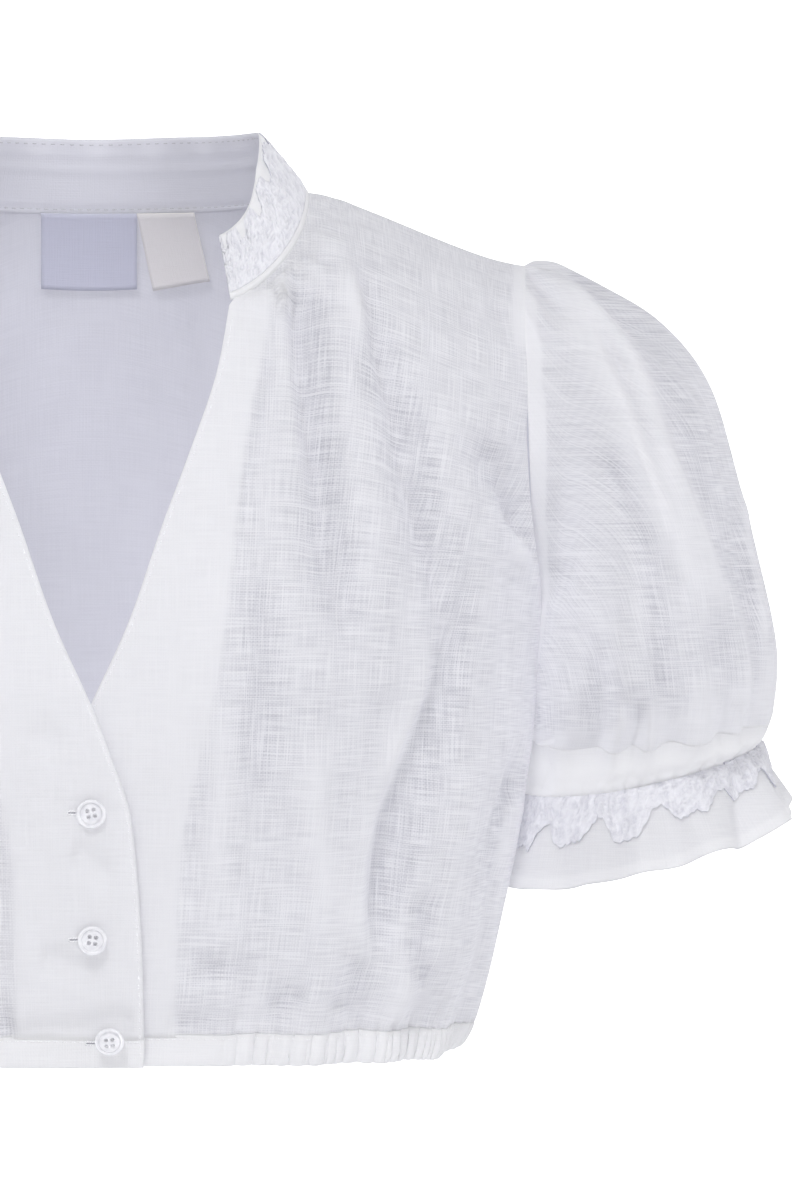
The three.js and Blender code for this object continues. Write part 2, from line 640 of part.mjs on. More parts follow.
// A ring of a sleeve or cuff from its row in a table, at an angle round it from its outer line.
function ringPoint(row, angle) {
  const power = 2 / SLEEVE_SQUARE;
  const bend = (x) => Math.sign(x) * abs(x) ** power;
  const out = bend(cos(radians(angle)));
  const forward = bend(sin(radians(angle)));
  return new THREE.Vector3(
    (row.outX + row.inX) / 2 + ((row.outX - row.inX) / 2) * out,
    -row.depth * forward,
    (row.outZ + row.inZ) / 2 + ((row.outZ - row.inZ) / 2) * out - row.frontDrop * forward,
  );
}

// Where the sleeve is sewn in: the armhole, and just outside the bodice at the underarm.
function armholePoint(angle) {
  const turn = ((angle % 360) + 360) % 360;
  const isFront = turn <= 180;
  const share = isFront ? 1 - turn / 180 : turn / 180 - 1;
  const station = mix(UNDERARM_LEVEL, PANEL_TOP, (1 - cos(PI * share)) / 2);
  const around = outerEdge(station);
  const point = bodiceForm(isFront ? around : 180 - around, station);
  const below = 1 - ramp(0, 0.35, share);
  point.x += ARMHOLE_GAP + LINEN * below;
  return point;
}

// A smooth skin through rings, with a first ring that may have its own shape.
function ringSurface(table, firstRing) {
  const last = table.length - 1;
  const ring = (k, angle) =>
    k <= 0 && firstRing ? firstRing(angle) : ringPoint(table[clamp(k, 0, last)], angle);
  return (angle, place) => {
    const row = clamp(Math.floor(place), 0, last - 1);
    const t = place - row;
    const near = [row - 1, row, row + 1, row + 2].map((k) => ring(k, angle));
    const axis = (key) => smoothThrough(...near.map((p) => p[key]), t);
    return new THREE.Vector3(axis("x"), axis("y"), axis("z"));
  };
}

// The turn from the sleeve's outer line, 0 to 180, and how far gathers show there: little of them
// where the sleeve lies beside the body.
const turnFromTop = (turn) => Math.min(turn, 360 - turn);
const clearOfBody = (turn) =>
  mix(1, BESIDE_BODY.share, ramp(BESIDE_BODY.from, BESIDE_BODY.to, turnFromTop(turn)));

const onSleeve = (fold) => ({
  ...fold,
  fromAround: radians(fold.fromAngle) * SLEEVE_RADIUS,
  toAround: radians(fold.toAngle) * SLEEVE_RADIUS,
  fromUp: fold.fromRing * SLEEVE_RING_STEP,
  toUp: fold.toRing * SLEEVE_RING_STEP,
});

// The puffed sleeve with its folds, gathered into the armhole over the shoulder and at the cuff.
function sleeveSurface() {
  const form = ringSurface(SLEEVE, armholePoint);
  const folds = SLEEVE_FOLDS.map(onSleeve);
  const cuff = SLEEVE.length - 1;
  return (angle, place) => {
    const turn = ((angle % 360) + 360) % 360;
    let lift = 0;
    for (const fold of folds) {
      lift += foldLift(fold, radians(turn) * SLEEVE_RADIUS, place * SLEEVE_RING_STEP);
    }
    const head = ramp(0, 0.5, place) * Math.exp(-((place / HEAD_GATHERS.rings) ** 2));
    const top = 1 - ramp(HEAD_GATHERS.fullArc, HEAD_GATHERS.halfArc, turnFromTop(turn));
    lift += HEAD_GATHERS.lift * head * top * unevenWave(HEAD_GATHERS.perTurn, angle);
    const low = Math.exp(-(((cuff - place) / CUFF_GATHERS.rings) ** 2));
    lift += CUFF_GATHERS.lift * low * clearOfBody(turn) * unevenWave(CUFF_GATHERS.perTurn, angle);
    return form(angle, place).addScaledVector(normalOf(form, angle, place, RING_STEP), lift);
  };
}

// The cuff: gathered at the casing and elastic, and waving out into a frill below it.
function cuffSurface() {
  const form = ringSurface(CUFF);
  const bottom = CUFF.length - 1;
  return (angle, place) => {
    const turn = ((angle % 360) + 360) % 360;
    const gather = 1 - 0.75 * ramp(0, bottom, place);
    const flare = ramp(ELASTIC_RING, bottom, place);
    const lift =
      CUFF_GATHERS.lift * gather * unevenWave(CUFF_GATHERS.perTurn, angle) +
      FRILL_WAVES.lift * flare * unevenWave(FRILL_WAVES.perTurn, angle + 20);
    const normal = normalOf(form, angle, place, RING_STEP);
    return form(angle, place).addScaledVector(normal, lift * clearOfBody(turn));
  };
}

// Puts a tube's shares on its surface. Its columns run from the outer line round by the front.
function onRings(surface, places, lift = 0) {
  return (u, v) => {
    const { angle, place } = places(u, v);
    const normal = normalOf(surface, angle, place, RING_STEP);
    return { point: surface(angle, place).addScaledVector(normal, lift), normal };
  };
}

function sleeve() {
  const places = (u, v) => ({ angle: 360 * u, place: mix(0, SLEEVE.length - 1, v) });
  return wall(onRings(sleeveSurface(), places), 32, 9, LINEN, true);
}

function cuff() {
  const places = (u, v) => ({ angle: 360 * u, place: mix(0.02, CUFF.length - 1, v) });
  return wall(onRings(cuffSurface(), places), 64, 4, LINEN, true);
}

function cuffLace() {
  const { foot, valley, tip, points } = CUFF_LACE;
  const places = (u, v) => ({
    angle: 360 * u,
    place: ELASTIC_RING + mix(foot, mix(valley, tip, scallop(points, u)), v),
  });
  const lift = LINEN / 2 + LACE_GAP + LACE / 2;
  return wall(onRings(cuffSurface(), places, lift), points * 4, 1, LACE, true);
}

// A four-hole button, lying in the XY plane with its underside at zero.
function buttonShape(wasm) {
  const { radius, foot, rim, well, wellRadius } = BUTTON;
  const profile = [
    [0, 0],
    [foot, 0],
    [radius, rim * 0.45],
    [radius * 0.95, rim * 0.9],
    [radius * 0.86, rim],
    [wellRadius, well],
    [0, well],
  ].map(([r, z]) => new THREE.Vector2(r, z));
  const disc = new THREE.LatheGeometry(profile, 18).rotateX(PI / 2);
  let body = solid(wasm, disc);
  for (const [x, y] of [[1, 0], [0, 1], [-1, 0], [0, -1]]) {
    const size = [BUTTON_HOLE.radius, BUTTON_HOLE.radius, rim * 3, BUTTON_HOLE.sides];
    const drill = new THREE.CylinderGeometry(...size).rotateX(PI / 2);
    drill.translate(x * BUTTON_HOLE.reach, y * BUTTON_HOLE.reach, 0).rotateZ(PI / 4);
    body = body.subtract(solid(wasm, drill));
  }
  return geometryOf(body);
}

function solid(wasm, geometry) {
  const bare = geometry.clone();
  bare.deleteAttribute("normal");
  bare.deleteAttribute("uv");
  const merged = mergeVertices(bare, 1e-4);
  return new wasm.Manifold(
    new wasm.Mesh({
      numProp: 3,
      vertProperties: merged.attributes.position.array,
      triVerts: new Uint32Array(merged.index.array),
    }),
  );
}

function geometryOf(body) {
  const { vertProperties, triVerts } = body.getMesh();
  const geometry = new THREE.BufferGeometry();
  geometry.setAttribute("position", new THREE.BufferAttribute(vertProperties, 3));
  return geometry.setIndex(Array.from(triVerts));
}

// Turns a button to lie on the right front, which is built on the wearer's left and mirrored.
function placeButton(mesh, { reach, height, tilt }) {
  const { angle, station } = placeAcross(-reach, height);
  const at = onBodice(rightFront, () => ({ angle, station }))(0, 0);
  const normal = at.normal.multiply(new THREE.Vector3(-1, 1, 1));
  const casingLift = height < CASING_TOP + BUTTON.radius ? (CASING - LINEN) / 2 : 0;
  const raise = LINEN / 2 + casingLift + BUTTON_CLEARANCE + BUTTON.foot * sin(radians(tilt));
  mesh.position.set(-at.point.x, at.point.y, at.point.z).addScaledVector(normal, raise);
  mesh.quaternion.setFromUnitVectors(new THREE.Vector3(0, 0, 1), normal);
  mesh.rotateX(radians(-tilt));
}

// A label hanging inside the back from the neck seam.
function label({ middle, width, drop, turn, hang }) {
  const tilt = radians(turn);
  const at = (u, v) => {
    const across = mix(width / 2, -width / 2, u);
    const down = mix(drop, 0, v);
    const x = middle + across * cos(tilt) + down * sin(tilt);
    const z = -LABEL_SEAM - down * cos(tilt) + across * sin(tilt);
    const { angle, station } = placeAcross(x, z - shoulderShift(x, false));
    const normal = normalOf(bodiceForm, 180 - angle, station, BODY_STEP);
    const inside = LINEN / 2 + LAYER_GAP + hang * mix(LABEL_TOP_HANG, 1, down / drop);
    return { point: bodiceForm(180 - angle, station).addScaledVector(normal, -inside), normal };
  };
  return wall(at, 4, 4, LABEL);
}

const WHITE_LINEN = { color: 0xeeeef3, roughness: 0.92, metalness: 0 };
const FACED_LINEN = { color: 0xf2f2f6, roughness: 0.9, metalness: 0 };
const COTTON_LACE = { color: 0xf4f4f8, roughness: 0.88, metalness: 0 };
const PEARL = { color: 0xf0f0f2, roughness: 0.22, metalness: 0 };
const GREY_WOVEN = { color: 0xc4c8d8, roughness: 0.7, metalness: 0 };
const CREAM_TAPE = { color: 0xdcdcda, roughness: 0.75, metalness: 0 };

const blouse = new THREE.Group();

function add(name, geometry, finish) {
  const mesh = new THREE.Mesh(geometry, new THREE.MeshStandardMaterial(finish));
  mesh.name = name;
  blouse.add(mesh);
  return mesh;
}

add("front_left", frontPanel(leftFront), WHITE_LINEN);
add("front_right", mirrored(frontPanel(rightFront)), WHITE_LINEN);
add("back", backPanel(), WHITE_LINEN);
add("facing_left", frontFacing(leftFront), FACED_LINEN);
add("facing_right", mirrored(frontFacing(rightFront)), FACED_LINEN);

const casingFoot = stationAt((HEM + CASING_TOP) / 2);
const casingSide = angleAtDepth(casingFoot, PANEL_SEAM / 2);
const casingEdge = frontEdge((HEM + CASING_TOP) / 2, "reach").angle;
add("casing_left", hemCasing(leftFront, casingEdge, casingSide, 72), FACED_LINEN);
add("casing_right", mirrored(hemCasing(rightFront, casingEdge, casingSide, 72)), FACED_LINEN);
add("casing_back", hemCasing(backSurface, 180 - casingSide, 180 + casingSide, 132), FACED_LINEN);

add("collar", collarBand(), FACED_LINEN);
add("collar_lace", collarLace(), COTTON_LACE);

for (const [side, turn] of [["left", (shape) => shape], ["right", mirrored]]) {
  add(`sleeve_${side}`, turn(sleeve()), WHITE_LINEN);
  add(`cuff_${side}`, turn(cuff()), FACED_LINEN);
  add(`cuff_lace_${side}`, turn(cuffLace()), COTTON_LACE);
}

for (const tag of LABELS) {
  add(tag.name, label(tag), tag.name === "neck_label" ? GREY_WOVEN : CREAM_TAPE);
}

const wasm = await Module();
wasm.setup();
const button = buttonShape(wasm);
BUTTONS.forEach((row, k) => placeButton(add(`button_${k + 1}`, button, PEARL), row));

export default blouse;
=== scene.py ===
# A short puff-sleeved dirndl blouse in sheer white linen, filled out as if worn, with nobody in it.
# Shapes are worked out in millimetres and made in metres. The front faces -Y, and +X is the
# wearer's left.
import logging
import math
from collections.abc import Callable
from dataclasses import dataclass, field
from enum import Enum

import bmesh
import bpy
import numpy as np
from mathutils import Matrix, Vector


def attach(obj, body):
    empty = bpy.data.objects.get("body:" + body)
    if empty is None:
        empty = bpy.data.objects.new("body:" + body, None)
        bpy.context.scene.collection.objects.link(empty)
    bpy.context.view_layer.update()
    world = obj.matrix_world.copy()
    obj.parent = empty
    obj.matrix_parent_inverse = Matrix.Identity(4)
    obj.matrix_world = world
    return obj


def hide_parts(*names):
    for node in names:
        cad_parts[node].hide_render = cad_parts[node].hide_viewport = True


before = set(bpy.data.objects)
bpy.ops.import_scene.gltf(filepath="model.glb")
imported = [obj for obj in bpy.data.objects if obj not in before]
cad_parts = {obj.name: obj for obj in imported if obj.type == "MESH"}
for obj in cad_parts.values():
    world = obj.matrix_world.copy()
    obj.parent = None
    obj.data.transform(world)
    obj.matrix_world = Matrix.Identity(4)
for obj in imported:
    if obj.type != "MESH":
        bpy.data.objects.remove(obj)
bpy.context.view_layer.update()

BODY = "root"
MM = 0.001
CLOTH_MAP = "cloth"
LAYERS = "layers"
INSIDE = "inside"

Array = np.ndarray
Range = tuple[float, float]
Surface = Callable[[Array, Array], Array]
Thing = bpy.types.Object
Material = bpy.types.Material
Tree = bpy.types.NodeTree
Socket = bpy.types.NodeSocket
Value = Socket | float
Colour = Socket | str
Inputs = dict[str | int, Value | tuple[float, ...]]

log = logging.getLogger("blouse")


def mix(a: Array, b: Array, t: Array) -> Array:
    """Blends a into b as t goes from 0 to 1."""
    return a + (b - a) * t


def ramp(low: float, high: float, x: Array) -> Array:
    """Rises smoothly from 0 at low to 1 at high."""
    t = np.clip((x - low) / (high - low), 0, 1)
    return t * t * (3 - 2 * t)


def bell(x: Array) -> Array:
    """A soft bump: 1 at x = 0 and next to nothing past 2."""
    return np.exp(-np.square(x))


def unit(vectors: Array) -> Array:
    """The vectors at length 1."""
    return vectors / np.maximum(np.linalg.norm(vectors, axis=-1, keepdims=True), 1e-9)


def uneven_wave(per_turn: float, angle: Array) -> Array:
    """Waves round a full turn, from -1 to 1, a little uneven in pitch."""
    turn = np.radians(angle)
    return np.sin(per_turn * turn + 0.9 * np.sin(3 * turn + 1) + 0.6 * np.sin(7 * turn))


def pucker(x: Array) -> Array:
    """Rounded ridges with narrow creases between them, one for each unit of x, from -1 to 1."""
    return 2 * np.sqrt(np.abs(np.sin(np.pi * x)) + 0.02) - 1


def crumple(x: Array, y: Array, seed: int) -> Array:
    """Smooth uneven bumps about one unit wide, from about -1 to 1.

    Args:
        x: places along one way of the cloth.
        y: places along the other way.
        seed: which bumps.

    Returns:
        The height of the bumps at each place.
    """
    cells = np.random.default_rng(seed).uniform(-1, 1, (64, 64))
    column, row = np.floor(x).astype(int), np.floor(y).astype(int)
    s, t = ramp(0, 1, x - column), ramp(0, 1, y - row)
    pick = lambda i, j: cells[(row + j) % 64, (column + i) % 64]
    return mix(mix(pick(0, 0), pick(1, 0), s), mix(pick(0, 1), pick(1, 1), s), t)


def normals(surface: Surface, u: Array, v: Array, across: float, up: float) -> Array:
    """The outward unit normals of a surface, from half a step either way.

    Args:
        surface: gives points for u and v.
        u: places round the surface.
        v: places up the surface.
        across: the half step in u.
        up: the half step in v.

    Returns:
        One unit vector for each place.
    """
    along = surface(u + across, v) - surface(u - across, v)
    return unit(np.cross(along, surface(u, v + up) - surface(u, v - up)))


class Table:
    """A short table with named columns, read along a smooth curve through its rows."""

    def __init__(self, names: str, *rows: tuple[float, ...]) -> None:
        """Keeps the rows by column name.

        Args:
            names: the column names, with spaces between them.
            rows: one tuple for each row.
        """
        self.columns = dict(zip(names.split(), np.array(rows, float).T))
        self.last = len(rows) - 1

    def read(self, name: str, place: Array) -> Array:
        """A column's value at each place, where whole places are rows."""
        values = self.columns[name]
        row = np.clip(np.floor(place), 0, self.last - 1).astype(int)
        t = np.clip(place - row, 0, 1)
        a, b, c, d = (values[np.clip(row + k, 0, self.last)] for k in (-1, 0, 1, 2))
        return b + t * ((c - a) + t * ((2 * a - 5 * b + 4 * c - d) + t * (3 * (b - c) + d - a))) / 2

    def place(self, name: str, value: Array) -> Array:
        """The place at which a column that only climbs reaches each value."""
        steps = np.linspace(0, self.last, 60 * self.last + 1)
        return np.interp(value, self.read(name, steps), steps)

    def rows(self) -> list[dict[str, float]]:
        """The rows, each by column name."""
        return [dict(zip(self.columns, row)) for row in zip(*self.columns.values())]


@dataclass(frozen=True)
class Folds:
    """Broad soft folds of the cloth, each from one place to another.

    to_mm turns the table's places into mm round the cloth and mm up it. A positive depth is a
    ridge, and a negative one a trough.
    """

    table: Table
    to_mm: Range
    start: float = 0.12
    end: float = 0.5

    def lift(self, around: Array, up: Array) -> Array:
        """How far the cloth moves out at each place, in mm.

        Args:
            around: mm round the cloth.
            up: mm up it.

        Returns:
            The lift in mm.
        """
        total = np.zeros_like(around)
        for row in self.table.rows():
            x0, x1 = row["from_x"] * self.to_mm[0], row["to_x"] * self.to_mm[0]
            y0, y1 = row["from_y"] * self.to_mm[1], row["to_y"] * self.to_mm[1]
            dx, dy = x1 - x0, y1 - y0
            length = math.hypot(dx, dy)
            along = ((around - x0) * dx + (up - y0) * dy) / length**2
            aside = ((around - x0) * dy - (up - y0) * dx) / length
            off = (aside - row["bow"] * np.sin(np.pi * along)) / row["width"]
            fade = ramp(0, self.start, along) * (1 - ramp(self.end, 1, along))
            total += row["depth"] * fade * bell(off) * (along > 0) * (along < 1)
        return total


class Flank(Enum):
    """How a crease's two flanks lie: alike, or one of them folded over sharply."""

    ROUND = 0
    PLEAT = 1


@dataclass(frozen=True)
class Crease:
    """A crease along a path in x and z on the cloth, from its first point to its last.

    A positive depth is a ridge. A pleat has its ridge on one side of the path, the viewer's left
    of a path that runs down the front, and a trough close beside it.
    """

    path: tuple[Range, ...]
    width: float
    depth: float
    flank: Flank = Flank.ROUND
    start: float = 0.18
    end: float = 0.4
    sharpness: float = 0.28

    def smooth_path(self) -> Array:
        """The path with a smooth curve between its points."""
        table = Table("x z", *self.path)
        place = np.linspace(0, table.last, 7 * table.last + 1)
        return np.stack([table.read("x", place), table.read("z", place)], -1)

    def lift(self, x: Array, z: Array) -> Array:
        """How far the cloth moves out at each place, in mm.

        Args:
            x: mm across the blouse.
            z: mm up the blouse.

        Returns:
            The lift in mm.
        """
        line = self.smooth_path()
        steps = np.linalg.norm(np.diff(line, axis=0), axis=1)
        length = np.concatenate([[0], np.cumsum(steps)])
        near = np.full(x.shape, np.inf)
        side, along = np.zeros(x.shape), np.zeros(x.shape)
        for k, (start, step) in enumerate(zip(line[:-1], np.diff(line, axis=0))):
            px, pz = x - start[0], z - start[1]
            t = np.clip((px * step[0] + pz * step[1]) / steps[k] ** 2, 0, 1)
            apart = np.hypot(px - t * step[0], pz - t * step[1])
            closer = apart < near
            near = np.where(closer, apart, near)
            side = np.where(closer, np.sign(step[0] * pz - step[1] * px), side)
            along = np.where(closer, (length[k] + t * steps[k]) / length[-1], along)
        off = near / self.width
        fade = ramp(0, self.start, along) * (1 - ramp(1 - self.end, 1, along))
        shape = bell(off)
        if self.flank is Flank.PLEAT:
            shape = -np.tanh(side * off / self.sharpness) * bell(off)
        return self.depth * fade * shape


def crease_lift(creases: tuple[Crease, ...], points: Array) -> Array:
    """The lift of all the creases at each point."""
    total = np.zeros(points.shape[:-1])
    for crease in creases:
        total += crease.lift(points[..., 0], points[..., 2])
    return total


# How doubled plain cloth looks, from 0 to 1; how much painted light each mm of a ridge adds, as more
# doubling, with painted shade in a trough; and at most
PLAIN_LAYERS = 0.42
RIDGE_PAINTED_LIGHT = 0.26
MOST_LAYERS = 0.85


def pleat_light_and_shade(creases: tuple[Crease, ...], points: Array) -> Array:
    """Painted light and shade along the pleats: drawn more doubled, so lighter, on a ridge, and less, so
    darker, in a trough.
    """
    return np.clip(PLAIN_LAYERS + RIDGE_PAINTED_LIGHT * crease_lift(creases, points), 0, MOST_LAYERS)


# Level sections of the bodice, hem to shoulder line
SECTIONS = Table(
    "height front back half_width square",
    (-345, 86, 75, 147.5, 2.3),
    (-333, 88, 77, 151.5, 2.3),
    (-304, 94, 80, 160.5, 2.35),
    (-264, 101, 83, 169.5, 2.4),
    (-225, 107, 87, 175.5, 2.4),
    (-190, 109, 91, 179, 2.4),
    (-150, 107, 93, 185, 2.4),
    (-110, 99, 92, 191, 2.45),
    (-75, 88, 87, 196, 2.5),
    (-46, 75, 78, 198, 2.5),
    (-23, 58, 63, 198, 2.5),
    (-9, 38, 42, 198, 2.5),
    (-2, 18, 20, 198, 2.5),
    (0, 0, 0, 198, 2.5),
)
# How far the shoulder drops, from the side of the neck outwards
SHOULDER = Table(
    "reach drop",
    (62, 0),
    (86, 1.2),
    (98, 3.6),
    (116, 10.4),
    (140, 20.2),
    (156, 26.2),
    (168, 29.4),
    (182, 31.5),
    (200, 34),
)
# The edge of each front up the placket and the V, and the edge of its facing
FRONT_EDGE = Table(
    "height edge facing",
    (-346, -20.5, 33),
    (-300, -19.5, 33.5),
    (-268, -17.5, 35),
    (-243, -14.5, 38),
    (-222, -7, 43),
    (-205, -0.5, 47),
    (-172, 14.5, 52),
    (-136, 27, 56),
    (-104, 39, 60),
    (-76, 48.5, 65),
    (-47, 54, 71),
)
# The armhole's share of the half width, underarm to shoulder
ARMHOLE = Table(
    "across", (1,), (0.9965,), (0.966,), (0.918,), (0.8775,), (0.8645,), (0.871,), (0.876,), (0.876,)
)
# The stand collar from its front end to the centre back
COLLAR_STAND = Table("lean height", (27, 29), (31, 29.5), (39, 30.5), (35, 32.5), (20, 32), (11, 31))

# The broad folds, in degrees from the centre front or back, and mm up
FOLD_COLUMNS = "from_x from_y to_x to_y bow width depth"
FRONT_FOLDS = Table(
    FOLD_COLUMNS,
    (20.5, -40, 17, -190, -3, 10, -2.4),
    (25, -32, 31, -190, 6, 12, -2.6),
    (29, -22, 47, -170, 9, 13, 2.2),
    (37, -60, 50, -225, 4, 12, -3.0),
    (60, -80, 66, -235, -4, 13, -2.2),
    (39, -195, 45, -342, -4, 13, -4.2),
    (56, -222, 60, -342, 3, 12, 3.6),
    (73, -215, 72, -340, 0, 10, -2.8),
)
BACK_FOLDS = Table(
    FOLD_COLUMNS,
    (14, -210, 12, -342, 4, 13, -3.2),
    (33, -190, 29, -342, -5, 13, 3.2),
    (50, -150, 47, -342, 5, 12, -3.4),
    (68, -200, 66, -342, 0, 11, 2.4),
    (55, -60, 66, -190, -6, 11, -2.2),
)
# Mm round the body for each degree
FOLD_MM = math.radians(165)

# Sharper creases of a front, by their paths in x and z
FRONT_CREASES = (
    # The edge of the facing, where the cloth over it steps down
    Crease(
        ((72, -65), (70, -75), (66.5, -88.5), (64, -102), (61.5, -117.5), (59.5, -129)),
        width=2.6, depth=-0.9,
    ),
    # A pleat from the collar seam, and a hollow below it
    Crease(
        ((74.5, -35.5), (77.5, -44), (78, -63.5), (79.5, -79), (81.5, -94.5), (84, -113.5), (87, -133),
         (89.5, -148.5)),
        width=7, depth=2.6, flank=Flank.PLEAT, start=0.06,
    ),
    # The broad valleys between the folds
    Crease(
        ((79.5, -42), (83.6, -67.7), (85.2, -94.6), (89, -133.2), (96, -164), (105.6, -189)),
        width=8, depth=-4.2, start=0.05, end=0.35,
    ),
    Crease(
        ((104.4, -52.2), (113.3, -79.2), (121, -102.3), (128.7, -125.5), (137.2, -156.3), (139.1, -179.4),
         (137.2, -202.5), (130.6, -225.7), (121, -248.8), (114.5, -271.9), (111.4, -298.9)),
        width=8.5, depth=-4.4, start=0.08, end=0.15,
    ),
    Crease(
        ((148, -96.6), (157.6, -113.9), (165.3, -131.2), (172, -146)),
        width=8, depth=-4.0, start=0.3, end=0.3,
    ),
    Crease(((62, -150), (66, -190), (64, -232), (70, -262)), width=7, depth=-1.8),
    Crease(((46, -196), (50, -232), (47, -268), (52, -300)), width=6, depth=1.5),
    Crease(((88, -214), (86, -244), (90, -276), (86, -312)), width=7, depth=1.8),
    Crease(((131, -276), (127, -296), (129, -318)), width=5, depth=-2.2, start=0.2, end=0.15),
    Crease(
        ((74.4, -36.8), (75.6, -43.8), (76.4, -51.6), (77.2, -59.3)),
        width=3, depth=1.3, start=0.02, end=0.6,
    ),
    Crease(
        ((76.8, -36.1), (78.3, -41.9), (79.5, -49.6), (80.3, -57.4)),
        width=2.4, depth=-0.7, start=0.02, end=0.6,
    ),
    Crease(((71.7, -38), (72.5, -47.7), (72.1, -59.3)), width=1.6, depth=-0.8, start=0.02, end=0.6),
    Crease(((87, -133.5), (91, -152.5), (95.5, -168), (102.5, -187)), width=7, depth=-1.6),
    # The long drag line from the shoulder down to the bust, which turns over half way
    Crease(
        ((100.5, -29), (105, -46), (108, -63), (112, -75), (115, -84.5), (118, -97.5), (121.5, -108)),
        width=7, depth=2.4, flank=Flank.PLEAT,
    ),
    Crease(
        ((118.5, -96.5), (123.5, -110), (128.5, -123.5), (132, -135), (135.5, -148.5), (138.5, -164),
         (141, -181.5)),
        width=7, depth=-2.0, flank=Flank.PLEAT, start=0.3,
    ),
    Crease(((120.5, -77), (124.5, -87), (127, -96.5), (131.5, -106), (136.5, -114)), width=3.4, depth=-1.0),
    # The pull towards the underarm
    Crease(
        ((155.5, -107.5), (160, -119), (164.5, -129.5), (170.5, -140.5), (175, -152.5)),
        width=8, depth=2.8, flank=Flank.PLEAT, start=0.4, end=0.2,
    ),
    # The sweep below the bust, down to the hem
    Crease(
        ((140, -164), (136.5, -183), (132.5, -198.5), (127.5, -210), (122, -222.5), (117, -237),
         (112, -252.5), (109, -268), (107.5, -287), (108.5, -312)),
        width=9, depth=2.4, flank=Flank.PLEAT, start=0.2, end=0.2,
    ),
    Crease(((121, -216), (117.5, -231.5), (116, -246.5)), width=3, depth=0.8),
    # The fold beside the sleeve
    Crease(
        ((172, -225), (165.5, -238.5), (159.5, -250.5), (155.5, -262), (154, -278), (153.5, -293.5)),
        width=4, depth=-2.2,
    ),
    Crease(((169.5, -240.5), (164.5, -253), (161, -274)), width=4, depth=1.6),
    # Small wrinkles by the collar and the shoulder seam
    Crease(((81, -27), (90.5, -32), (97.5, -37.5)), width=2.6, depth=-0.7),
    Crease(((84.5, -19.5), (94, -25), (102.5, -31.5)), width=3, depth=0.7),
    Crease(((76, -39.5), (77.5, -48)), width=1.8, depth=-0.8),
    Crease(((73, -36.5), (77.5, -40), (81, -46.5), (82, -54.5)), width=2, depth=0.8),
    Crease(((155.5, -45.5), (161, -53), (165, -58.5)), width=3.5, depth=-0.8),
    # Soft hollows above the hem
    Crease(((80.5, -312.5), (75, -320), (66, -323)), width=5, depth=-2.2),
    Crease(((104.5, -302.5), (100.5, -314.5), (96, -324)), width=5, depth=-2.6, start=0.2, end=0.1),
    Crease(((126.5, -309), (121, -318.5), (118, -330)), width=5, depth=2.2, start=0.2, end=0.1),
    Crease(((35, -304.5), (51.5, -307), (68, -305.5)), width=5, depth=-1.8),
    Crease(((28.5, -325.5), (40, -327.5), (50.5, -325)), width=4, depth=-2.0),
)
# Dents across the buttoned placket, seen on the right front as it is built, on the wearer's left
PLACKET_CREASES = (
    Crease(((8, -258), (-4, -266), (-11, -268)), width=4.5, depth=-1.9),
    Crease(((21.5, -300), (4, -305), (-8, -305.7)), width=4.5, depth=-2.0),
    Crease(((35, -331), (12, -328.7), (-7, -325.6), (-18, -326)), width=3.4, depth=-2.2, start=0.1, end=0.1),
    Crease(((19.5, -210), (12, -225)), width=6, depth=-1.4),
)

# Half steps for a surface's normals, in degrees and in mm: fine, and wide enough to pass over creases
FINE_STEP = (1, 3)
WIDE_STEP = (2, 7)


